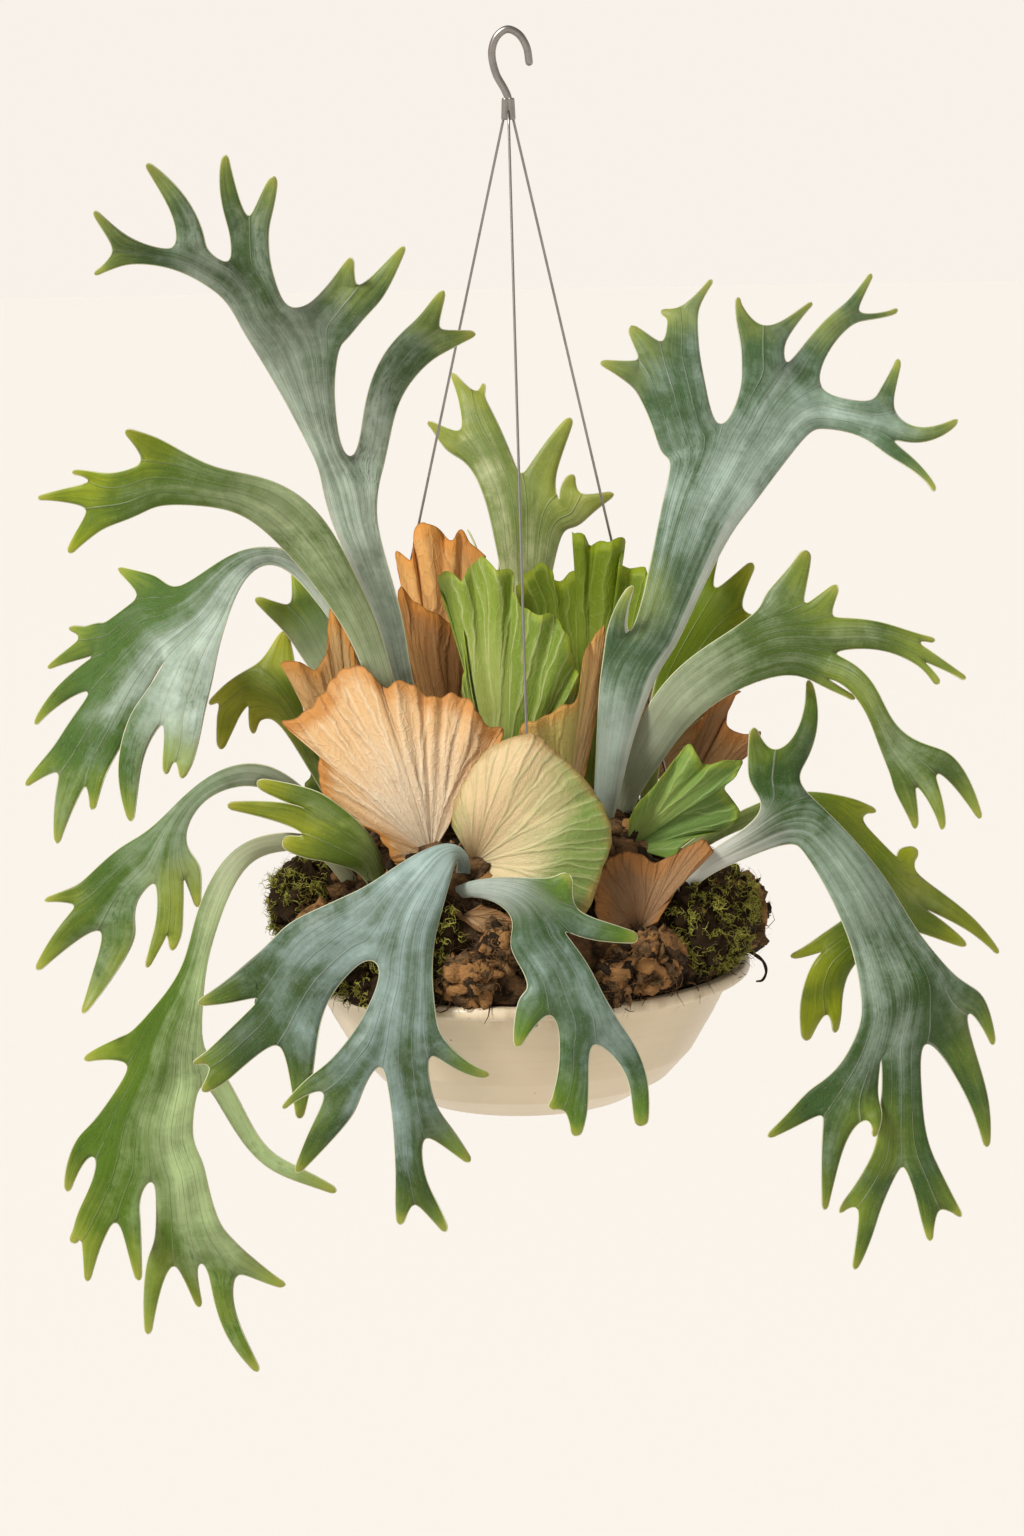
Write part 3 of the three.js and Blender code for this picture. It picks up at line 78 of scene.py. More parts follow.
ROOT_BALL_FOOT = [(0, -87), (66, -81), (105, -54), (119, -35), (133, -9), (139.5, -1.5)]

# The view: through a point on the axis, slightly downward and from a finite distance, over a far floor.
LOOK_HEIGHT = 128.9
LOOK_DISTANCE = 2400.0
LOOK_TILT = math.radians(9.5)
LENS = 84.4
FLOOR_DEPTH = 1500.0
COS = math.cos(LOOK_TILT)
SIN = math.sin(LOOK_TILT)

# Antler blades, in millimetres: how deep the foot is sunk, how the sweep grows, the rows and columns of the
# grid, the rounding of tips and crotches, the ripples along the edges, and the slow waves of the whole.
FOOT_SINK = 11.0
SWEEP_REACH = 300.0
ROW_STEP = 3.6
ROW_GAP = 0.12
TIP_COLUMNS = 4
TIP_ROUNDING = 3.6
TIP_ROWS = 6
TIP_HALF_WIDTH = 2.0
CROTCH_ROWS = [0.25, 0.7, 1.4, 2.4]
CROTCH_REACH = 12.0
STEM_CAMBER = 1.5
STEM_REACH = 110.0
RIPPLE = 0.8
LONG_RIPPLE = 13.0
SHORT_RIPPLE = 6.1
RIPPLE_REACH = 60.0
BLADE_WAVE = 2.2
BLADE_WAVE_SIZE = 56.0
SMOOTHINGS = 26

# Shield fans, in millimetres: how deep the eye is sunk, the least turn between spokes, the grid, and the
# width of a pleat. Those of the unseen back are turned round by the last number, in degrees.
EYE_SINK = 7.0
SPOKE_STEP = math.radians(1.2)
FAN_STEP = 2.2
FAN_ROWS = 26
PLEAT_WIDTH = 17.0
BACK_TURN = 184.0

# Both kinds of frond are thinner at their edges: by what share, and how far in that is still felt. Their
# waves start anywhere in a turn, up to the last number.
ANTLER_THINNING = (0.6, 1.6)
SHIELD_THINNING = (0.55, 2.2)
PHASES = 6.28

# The filling: the numbers of its chips, root tips, sprigs and hairs, their grids, and the size of its lumps.
BALL_LUMPS = 42.0
CHIP_COUNT = 560
CHIP_ROWS = 5
CHIP_SIDES = 7
ROOT_TIPS = 70
PATCH_SPRIGS = 560
PATCH_SPRIG_SIZE = 5
CLUMP_SPRIG_SIZE = 7
SPRIG_STEPS = 4
MOSS_LUMPS = 17.0
BARK_LUMPS = 21.0
BARK_CHIPS = {"bark": 90, "coir": 60}
BARK_HAIRS = {"bark": 150, "coir": 230}

# How much brighter the key light makes a leaf than its own colour, and the floor's colour.
KEY_LIGHT = 1.25
FLOOR_COLOUR = (0.865, 0.84, 0.805)

# Finish of a shield, dry unless its slot has another: how much dark and pale grain it has, how wide its ribs
# are, how much is blotched, how wide and strong its margin is, how dark its rim, how rough it is, and the
# depth of its relief in metres.
DRY_FINISH = (0.3, 0.3, 0.034, 0.4, 17.0, 0.8, 0.7, 0.66, 0.0018)
FINISHES = {"shield_green": (0.14, 0.16, 0.024, 0.16, 8.0, 0.6, 0.2, 0.44, 0.0011)}

# Clumps of the filling: place, radii, turn in degrees, kind. Then the curled roots at the rim.
TUFTS = {
    "moss_left": ((-142, -14, 42), (25, 40, 30), 0, "moss"),
    "moss_front_left": ((-98, -114, 12), (32, 14, 17), -38, "moss"),
    "moss_front_centre": ((-51, -128, 38), (12, 9, 24), 0, "moss"),
    "moss_right": ((120, -66, 40), (24, 48, 34), -36, "moss"),
    "bark_left": ((-131, -68, 30), (15, 27, 20), -28, "bark"),
    "bark_front_right": ((78, -118, 22), (27, 13, 19), 32, "bark"),
    "bark_right": ((146, -12, 30), (15, 22, 24), 8, "bark"),
    "coir_front_left": ((-35, -138, 17), (17, 11, 15), -14, "coir"),
    "coir_front_centre": ((-13, -138, 37), (13, 9, 13), -5, "coir"),
    "root_chunk_front": ((56, -136, 13), (9, 8, 14), 20, "bark"),
}
CURLS = {
    "curled_root_left": [(-140, -37, 21), (-148, -41, 13), (-154, -42, 7), (-157.5, -40, 0), (-157, -36, -8),
                         (-155.5, -31, -15), (-157, -27, -18)],
    "curled_root_right": [(139, -43, 19), (146, -45, 13), (153, -46, 9), (158.5, -45, 4), (160.5, -44, -3),
                          (158, -43, -9), (154, -42, -10)],
}

# Antler fronds, drawn as they look from the front. A branch is [stations, ...branches], and a station is
# [right, up, half width, forward]. Each begins at its foot in the root ball: [x, forward, half width].
# The lean tilts its face to the right and up, and the sweep carries it forward or back with its reach.
ANTLERS = {
  "antler_upper_left": {
    "foot": [-60, 22, 5], "lean": [0.15, 0], "sweep": 30,
    "tree": [[[-64, 10, 5, 30], [-77, 60, 6.5, 40], [-85, 100, 9, 46], [-97, 135, 11.5, 50],
      [-108, 168, 15, 50], [-110, 188, 19, 48]],
    [[[-122, 205, 9, 48], [-130, 230, 12.5, 50], [-137, 256, 18, 54], [-142, 280, 27, 56]],
      [[[-166, 300, 15, 64], [-172, 318, 17, 66]],
        [[[-196, 331, 9.5, 74], [-210, 341, 9, 80]],
          [[[-230, 343, 5.5, 88], [-250, 348, 6, 92]],
            [[[-262, 358, 4.5, 94], [-270, 366, 3.8, 95], [-277.5, 376, 1.8, 96]]],
            [[[-262, 342, 3.5, 94], [-278, 334, 1.6, 94]]]],
          [[[-212, 352, 9, 80], [-215, 370, 8, 78], [-228, 391, 6, 76], [-242, 407, 2, 76]]]],
        [[[-173, 340, 12.5, 62], [-174, 358, 12.5, 58]],
          [[[-182, 366, 7, 56], [-188, 385, 6.5, 52], [-190, 400, 5, 50], [-189, 412, 2, 50]]],
          [[[-167, 367, 6.5, 54], [-161, 384, 6.5, 48], [-157, 397, 2.2, 46]]]]],
      [[[-122, 297, 16, 46], [-113, 312, 17, 42]],
        [[[-114, 322, 8.5, 40], [-109, 334, 5, 40], [-106.5, 342, 2, 42]]],
        [[[-94, 317, 9, 36], [-83, 331, 6, 32], [-71, 349, 2, 30]]]]],
    [[[-97, 203, 10, 40], [-92, 225, 10, 34], [-88, 247, 11, 28], [-79, 266, 13, 22], [-66, 282, 14, 18]],
      [[[-57, 297, 7, 14], [-51, 308, 5.5, 12], [-45.5, 319, 2, 10]]],
      [[[-46, 285, 7.5, 14], [-36, 288, 5, 10], [-24.5, 290, 2, 6]]]]],
  },
  "antler_left_arch": {
    "foot": [-74, 30, 5.5], "lean": [0.1, 0.12], "sweep": 30,
    "tree": [[[-80, 15, 6, 44], [-92, 62, 8.5, 56], [-104, 97, 11, 64], [-121, 128, 13.5, 70],
      [-139, 156, 17, 76], [-160, 177, 17, 80], [-184, 187.5, 13, 84], [-205, 191, 13, 86],
        [-224, 197, 18, 86]],
    [[[-240, 217, 8.5, 88], [-249, 223, 5.5, 88], [-259, 229.5, 2.2, 88]]],
    [[[-246, 191, 14, 86], [-264, 184, 17, 84]],
      [[[-278, 171, 7.5, 84], [-289, 161, 5.5, 82], [-298, 148.5, 2.2, 80]]],
      [[[-286, 187, 7.5, 78], [-302, 187.5, 4.2, 72], [-318, 185.3, 1.6, 66]]],
      [[[-280, 199.5, 3.5, 80], [-295, 202.5, 1.6, 78]]]]],
  },
  "antler_left_droop": {
    "foot": [-88, 22, 4.5], "lean": [0.4, 0], "sweep": -110,
    "tree": [[[-93, 30, 4.5, 30], [-101, 70, 5, 34], [-113, 95, 6.5, 38], [-130, 121, 7.5, 44],
      [-147, 140, 7, 52], [-165, 147, 5.5, 60], [-183, 141, 9, 66], [-198, 126, 13, 70], [-210, 110, 20, 72]],
    [[[-243, 126, 8, 54], [-253, 130.5, 5.5, 50], [-265, 137.5, 2, 46]]],
    [[[-246, 96, 22, 60], [-260, 82, 24, 58]],
      [[[-278, 93, 11, 48], [-284, 89, 10.5, 46]],
        [[[-289, 96, 4.2, 44], [-298.5, 98.5, 1.8, 42]]],
        [[[-290, 84, 6.5, 42], [-302, 79, 4, 38], [-313, 72, 1.5, 34]]]],
      [[[-286, 67, 8.5, 50], [-302, 58, 6.5, 46], [-314, 47, 4.2, 44], [-322, 34.5, 1.6, 42]]],
      [[[-272, 44, 18, 62], [-286, 22, 20, 66]],
        [[[-308, 12, 7, 64], [-320, 3, 4.2, 62], [-329, -6, 1.8, 60]]],
        [[[-299, -5, 9.5, 68], [-306, -25, 6, 70], [-309, -45, 2, 70]]],
        [[[-283, -3, 6, 72], [-285, -23, 2, 72]]]]],
    [[[-219, 70, 17, 78], [-226, 52, 20, 80]],
      [[[-248, 38, 11, 78], [-260, 12, 8.5, 76], [-261, -10, 7, 74], [-259.5, -31, 2, 74]]],
      [[[-223, 37, 13, 86], [-225, 20, 12, 88]],
        [[[-234, 10, 4.5, 88], [-236, 0, 2, 88]]],
        [[[-223, 8, 6, 90], [-225.5, -3, 2, 90]]]]]],
  },
  "antler_left_small": {
    "foot": [-95, 2, 5], "lean": [0.1, 0], "sweep": -60,
    "tree": [[[-103, 20, 5.5, 4], [-117, 55, 7.5, 6], [-129, 74, 13, 8], [-136, 92, 14, 8]],
      [[[-159, 106, 6.5, 12], [-166, 111, 4.5, 12], [-174, 116, 2.2, 12]]],
      [[[-139, 112, 9, 2], [-145.5, 124, 5.2, 0], [-148, 135, 1.8, -2]]]],
  },
  "antler_left_pale": {
    "foot": [-112, -8, 4], "lean": [0.1, 0], "sweep": -60,
    "tree": [[[-124, -18, 4.5, -16], [-137, 5, 5, -22], [-149, 32, 8, -26], [-154, 42, 10, -27]],
      [[[-175, 38, 5, -24], [-177, 26, 1.8, -22]]],
      [[[-179, 58, 11, -26], [-190, 52, 10.5, -24]],
        [[[-195, 35, 7.5, -22], [-199, 16, 2.4, -20]]],
        [[[-199, 51, 3.6, -24], [-206, 46, 1.8, -24]]]],
      [[[-158, 74, 10, -32], [-155, 94, 3, -34]]]],
  },
  "antler_left_lower": {
    "foot": [-100, 40, 5], "lean": [0.35, 0], "sweep": 40,
    "tree": [[[-124, -40, 5, 44], [-150, -14, 7, 52], [-172, 0, 8.5, 58], [-193, -1.5, 7.5, 66],
      [-212, -11, 5.5, 74], [-226, -25, 6.5, 80], [-236, -42, 11, 82]],
    [[[-254, -57, 15, 72], [-272, -73, 17, 66]],
      [[[-295, -79, 6, 56], [-307, -80, 3.5, 52], [-318, -83, 1.6, 48]]],
      [[[-293, -95, 9.5, 60], [-309, -110, 7, 58], [-324, -129, 2.2, 56]]],
      [[[-267, -104, 11, 70], [-277, -126, 8.5, 70], [-287, -146, 4.6, 70], [-294, -158.5, 1.8, 70]]]],
    [[[-234, -74, 9.5, 84], [-234, -92, 8, 84]],
      [[[-242, -108, 5, 84], [-251, -128.5, 1.8, 84]]],
      [[[-231.5, -105, 5.5, 84], [-234, -117.5, 2.2, 84]]]],
    [[[-220, -62, 7.5, 86], [-218, -73, 5, 86], [-216, -89, 2, 86]]]],
  },
  "antler_left_young": {
    "foot": [-92, 74, 6], "lean": [0, 0], "sweep": 0,
    "tree": [[[-101, -57, 11, 84], [-111, -51, 16, 86], [-122, -44, 18, 86]],
      [[[-140, -52, 7.5, 86], [-150, -49, 7, 84], [-159, -46, 4, 82]]],
      [[[-146, -30, 9, 82], [-166, -25, 6.5, 78], [-195, -21.5, 2.6, 74]]],
      [[[-136, -22, 9.5, 78], [-150, -15, 7, 74], [-165, -11, 6, 70], [-175, -6, 3, 68]]]],
  },
  "antler_long_left": {
    "foot": [-108, 56, 5], "lean": [0.2, 0], "sweep": -60,
    "tree": [[[-135, -48, 5, 68], [-158, -46, 6.5, 76], [-178, -49, 6.5, 86], [-192, -60, 7.5, 94],
      [-204, -81, 8, 100], [-212, -103, 8, 104], [-218, -126, 7, 106], [-225, -148, 12, 106],
        [-236, -174, 22, 104]],
    [[[-264, -181, 8, 98], [-278, -183, 6, 96], [-293.5, -189.5, 2, 94]]],
    [[[-242, -204, 23, 102], [-252, -232, 31, 102]],
      [[[-293, -244, 7.5, 96], [-303, -260, 5.5, 94], [-306, -277, 2.2, 92]]],
      [[[-269, -264, 16, 104], [-276, -283, 17, 106]],
        [[[-288, -293, 12, 104], [-291, -302, 12, 104]],
          [[[-300, -306, 4.5, 102], [-303.5, -311.5, 2.6, 102]]],
          [[[-291, -313, 6.5, 106], [-294, -337, 2.2, 108]]]],
        [[[-265, -292, 7.5, 112], [-263, -312, 5.6, 114], [-259.5, -337, 2.4, 116]]]],
      [[[-231, -264, 17, 102], [-229, -288, 19, 100], [-225, -310, 22, 98]],
        [[[-245, -322, 9, 98], [-252, -348, 5.5, 98], [-254, -373, 2.4, 98]]],
        [[[-228, -325, 5.8, 92], [-223, -342, 4, 90], [-219.5, -355.5, 2.2, 90]]],
        [[[-207, -317, 13, 96], [-203, -324, 13, 96]],
          [[[-205, -334, 8, 98], [-203, -358, 6, 100], [-195, -378, 6, 104], [-181, -399, 2.2, 108]]],
          [[[-188, -327, 6.5, 90], [-175, -337, 4.6, 88], [-162, -342, 2.2, 86]]]]]],
    [[[-208, -200, 7, 92], [-196, -222, 7, 84], [-185, -243, 5.5, 80], [-172, -260, 5.5, 78],
      [-150, -269, 5, 78], [-127, -280, 2.4, 78]]]],
  },
  "antler_front_left": {
    "foot": [-38, 104, 4.5], "lean": [0.3, -0.15], "sweep": 0,
    "tree": [[[-37, -54, 6, 116], [-48, -52, 9, 124], [-60, -66, 15, 130], [-75, -86, 25, 136]],
      [[[-113, -103, 20, 130], [-138, -120, 27, 126]],
        [[[-174, -134, 13, 120], [-192, -145, 9, 117], [-217, -153, 2.2, 114]]],
        [[[-178, -170, 13, 124], [-193, -184, 12.5, 124]],
          [[[-205, -203, 6.5, 126], [-215.5, -211.5, 2.4, 126]]],
          [[[-211, -189, 4, 120], [-221, -193, 1.6, 118]]]],
        [[[-149, -183, 10.5, 138], [-149, -207, 7.5, 142], [-151, -231, 2.6, 144]]]],
      [[[-76, -134, 15.5, 148], [-81, -160, 23, 154]],
        [[[-106, -184, 12.5, 158], [-119, -202, 13.5, 162]],
          [[[-138, -205, 5.5, 156], [-150, -213, 3.5, 154], [-162, -224, 1.6, 150]]],
          [[[-122, -221, 11, 166], [-138, -243, 8.5, 166], [-153.5, -267, 2.4, 164]]]],
        [[[-79, -200, 14, 162], [-76, -222, 14, 164]],
          [[[-79.5, -246, 9, 166], [-78.5, -268, 9, 166]],
            [[[-83, -286, 5.6, 166], [-85, -303, 2.6, 166]]],
            [[[-68, -286, 6, 164], [-60, -298, 4.6, 164], [-54.5, -308, 2.2, 164]]]],
          [[[-60, -237, 7.5, 160], [-49, -249, 5.8, 158], [-38, -262, 2.4, 156]]]],
        [[[-60, -180, 5.6, 160], [-50, -193, 5.6, 162], [-38, -202, 4.6, 162], [-24, -204, 2.2, 162]]]]],
  },
  "antler_front_right": {
    "foot": [-45, 108, 4], "lean": [0.1, -0.1], "sweep": 0,
    "tree": [[[-41, -78, 4.5, 122], [-30, -79, 6, 133], [-14, -80, 8, 143], [2, -86, 14, 151]],
      [[[6, -112, 18, 158], [16, -125, 18, 161], [25, -140, 22, 164]],
        [[[6, -156, 11, 168], [-1, -170, 7.5, 170], [-5, -186, 2.4, 170]]],
        [[[36, -157, 17, 168], [42, -171, 20, 168]],
          [[[33, -181, 10.5, 168], [33, -203, 9.8, 166], [30, -217, 12, 166]],
            [[[20, -224, 4.5, 166], [15.5, -227, 2.4, 166]]],
            [[[35, -229, 7, 164], [33, -246, 3.6, 164]]]],
          [[[56, -177, 10, 164], [69, -192, 8.2, 160], [76.5, -208, 6.2, 158], [76.5, -224, 6.6, 158],
            [77, -240, 4.4, 158]]]]],
      [[[41, -108, 8, 157], [58, -111, 6.8, 154], [76.5, -115, 3.6, 150]]],
      [[[22, -82, 9.5, 150], [32, -72, 4.5, 150]]]],
  },
  "antler_right_upright": {
    "foot": [52, 44, 6], "lean": [-0.1, 0], "sweep": -70,
    "tree": [[[58, -18, 8.5, 56], [62, 10, 11, 60], [67, 36, 14.5, 62], [73, 62, 18.5, 60]],
      [[[65.5, 84, 7.5, 64], [67, 100, 5.8, 68], [72, 112, 4, 70], [77.5, 120, 1.6, 70]]],
      [[[91, 85, 15.5, 52], [103, 115, 18, 46], [115, 148, 22.5, 40], [125, 174, 27, 35], [133, 188, 31, 31]],
        [[[116, 215, 20, 34], [111, 235, 20, 36], [106, 252, 23, 36]],
          [[[84, 260, 9, 42], [70, 266, 4.8, 46], [58.5, 269, 2, 48]]],
          [[[90, 278, 8.5, 34], [83, 287, 5.6, 30], [79, 293, 2.4, 28]]],
          [[[113, 277, 12, 28], [114, 293, 10, 24]],
            [[[106, 300, 4, 18], [99.5, 302.5, 2, 14]]],
            [[[120, 304, 4, 24], [127, 314, 2.4, 28], [134, 323, 1.2, 32]]]]],
        [[[162, 214, 23, 22], [175, 236, 27, 16]],
          [[[167, 262, 15, 20], [167, 277, 13, 22]],
            [[[155, 290, 5.2, 24], [151.5, 302, 3, 28], [151, 311, 1.6, 30]]],
            [[[179, 285, 5.2, 18], [190, 298, 2.8, 12], [200.5, 306.5, 1.4, 6]]]],
          [[[193, 262, 9.5, 4], [206, 282, 8, 0], [218, 295, 7, -4]],
            [[[226, 303, 4.2, -6], [233, 313, 3.2, -8], [240.5, 325, 1.5, -10]]],
            [[[231, 296.5, 2.4, -8], [245, 295, 1.5, -14], [257.5, 301, 1.2, -20]]]],
          [[[206, 233, 11, 14], [224, 231, 10.5, 20], [238, 227, 10.5, 26]],
            [[[246, 243, 4.5, 20], [254, 255, 4, 16], [257.5, 268, 1.8, 12]]],
            [[[254, 221, 5, 32], [268, 214.5, 6, 40], [282, 217, 5.4, 46], [296, 227, 1.8, 52]]],
            [[[249, 209, 5, 36], [263, 200.5, 4, 40], [274, 192, 2.8, 44], [280, 179.5, 1.4, 48]]]]]]],
  },
  "antler_right_middle": {
    "foot": [64, 26, 5.5], "lean": [0.1, 0.1], "sweep": 60,
    "tree": [[[71, -18, 7.5, 34], [84, 8, 12, 42], [101, 36, 15.5, 50], [122, 56, 17.5, 58],
      [146, 70, 18.5, 64], [168, 80, 22, 68]],
    [[[177, 108, 13, 58], [187, 123, 8.5, 52], [193.5, 141.5, 3.6, 46]]],
    [[[200, 102, 8, 58], [209, 112, 5, 54], [213.5, 118, 2.4, 52]]],
    [[[214, 86, 11, 66], [238, 85.5, 10, 62], [257, 80, 7.5, 58]],
      [[[265, 83, 2.8, 54], [278, 80, 1.2, 50]]],
      [[[269, 72, 5, 58], [284, 63.5, 3, 56], [298, 54, 1.3, 54]]],
      [[[272, 63, 3.2, 62], [280, 51, 2.4, 64]]]],
    [[[205, 64, 8, 76], [221, 60.5, 9, 84], [233, 46, 8, 88], [241, 27, 5.5, 90], [249, 10, 11, 88],
      [260, -1, 14.5, 86]],
    [[[281, 1, 8, 80], [294, -13, 6.5, 76], [306.5, -39, 1.8, 72]]],
    [[[270, -14, 6.5, 90], [279, -28, 5, 92], [281, -46, 1.8, 94]]],
    [[[255, -15, 8, 84], [261, -31, 5, 82], [263, -45, 1.8, 80]]]],
    [[[206, 53, 4, 74], [224, 42, 1.5, 70]]]],
  },
  "antler_right_lower": {
    "foot": [94, 85, 4.5], "lean": [-0.25, 0], "sweep": 20,
    "tree": [[[118, -70, 6, 90], [140, -58, 8, 92], [160, -48, 10, 92], [176, -38, 15, 90]],
      [[[166, -13, 15.5, 80], [167, -6, 15.5, 79]],
        [[[158, 5, 6.5, 78], [157, 14, 4.6, 78], [156, 24, 2.6, 78]]],
        [[[183, 3, 8.5, 74], [193, 20, 6.8, 70], [196, 38, 5, 66], [193.5, 55, 1.8, 62]]]],
      [[[196, -46, 15, 94], [213, -67, 17, 98], [229, -93, 20, 100], [241, -120, 22, 100],
        [254, -150, 31, 98]],
        [[[301, -160, 7.5, 80], [308, -173, 4.8, 76], [312.5, -190, 1.8, 72]]],
        [[[281, -178, 14, 88], [293, -203, 9.5, 84], [304, -231, 6.5, 80], [307, -258, 2.2, 78]]],
        [[[250, -188, 14, 100], [251, -215, 13, 102], [250, -240, 15, 104]],
          [[[261, -265, 10, 104], [268, -282, 11, 104]],
            [[[280, -293, 5, 100], [289, -304, 1.8, 98]]],
            [[[266, -300, 5.6, 106], [268, -320, 2.2, 108]]]],
          [[[240, -264, 10, 108], [230, -284, 10.5, 110]],
            [[[228, -301, 6, 112], [224, -318, 5.6, 114], [217, -338, 2, 116]]],
            [[[216, -291, 4, 108], [208, -300, 1.8, 108]]]]],
        [[[226, -202, 14, 108], [217, -219, 17, 112]],
          [[[235, -233, 4.6, 118], [231.5, -250, 2, 120]]],
          [[[207, -240, 9.5, 116], [202.5, -263, 6.5, 118], [198, -298, 2, 120]]],
          [[[195, -224, 9.5, 114], [179, -237, 5.8, 114], [161, -248.5, 2, 114]]]]]],
  },
  "antler_right_behind": {
    "foot": [102, 40, 4.5], "lean": [-0.3, 0], "sweep": -80,
    "tree": [[[128, -46, 5, 40], [158, -33, 6.5, 44], [186, -26, 9, 48], [206, -34, 14, 50]],
      [[[221, -29, 5.5, 50], [237, -33, 1.8, 46]]],
      [[[226, -58, 14, 52], [240, -78, 17, 52]],
        [[[253, -64, 7.5, 46], [259, -62, 6, 44], [264.5, -60, 3.6, 42]]],
        [[[268, -90, 8.5, 42], [286, -100, 6.5, 38], [303, -112, 4.4, 34], [317, -129, 1.4, 30]]],
        [[[268, -106, 8, 46], [282, -115, 6, 44], [295.5, -123.5, 2, 42]]],
        [[[233, -104, 12, 60], [222, -114, 13, 62]],
          [[[206, -133, 13, 66], [199, -148, 14, 68]],
            [[[208, -165, 4.6, 70], [207, -180, 2, 72]]],
            [[[191, -166, 8, 68], [187.5, -185, 3, 68]]]],
          [[[203, -119, 6.5, 60], [192, -125, 4.2, 58], [178.5, -129, 1.8, 56]]]]]],
  },
  "antler_right_bright": {
    "foot": [84, 0, 5], "lean": [0, 0], "sweep": -50,
    "tree": [[[90, 20, 6.5, -4], [100, 52, 10, -6], [114, 76, 16, -8], [126, 94, 19, -10]],
      [[[122, 116, 8, -18], [128, 134, 6, -22], [136, 150, 2.4, -26]]],
      [[[141, 112, 8, -8], [149, 122, 6, -8], [158, 133.5, 2.6, -8]]],
      [[[152, 92, 6.5, 0], [168, 96, 3, 4]]]],
  },
  "antler_centre_back": {
    "foot": [5, -38, 6], "lean": [0, 0], "sweep": -50,
    "tree": [[[5, 40, 8, -56], [6, 90, 11, -62], [7, 130, 17, -66], [8, 162, 24, -68]],
      [[[-9, 190, 14, -72], [-17, 212, 14, -76]],
        [[[-40, 216, 8, -76], [-49, 226, 3.8, -78], [-57, 231.5, 1.6, -80]]],
        [[[-22, 230, 11, -80], [-26, 243, 9, -84]],
          [[[-34, 253, 4.2, -86], [-40, 264, 1.8, -88]]],
          [[[-21.5, 248, 3, -88], [-19, 256.5, 1.8, -92]]]]],
      [[[15, 190, 10, -68], [24, 209, 8, -66], [31, 221, 6, -66], [38.5, 232.5, 2.4, -66]]],
      [[[36, 167, 10, -60], [40, 172, 10.5, -59]],
        [[[35, 184, 6.4, -60], [39, 195, 2.6, -60]]],
        [[[49, 174, 6, -56], [56, 178, 4.6, -54], [66, 181.5, 2, -52]]]]],
  },
}

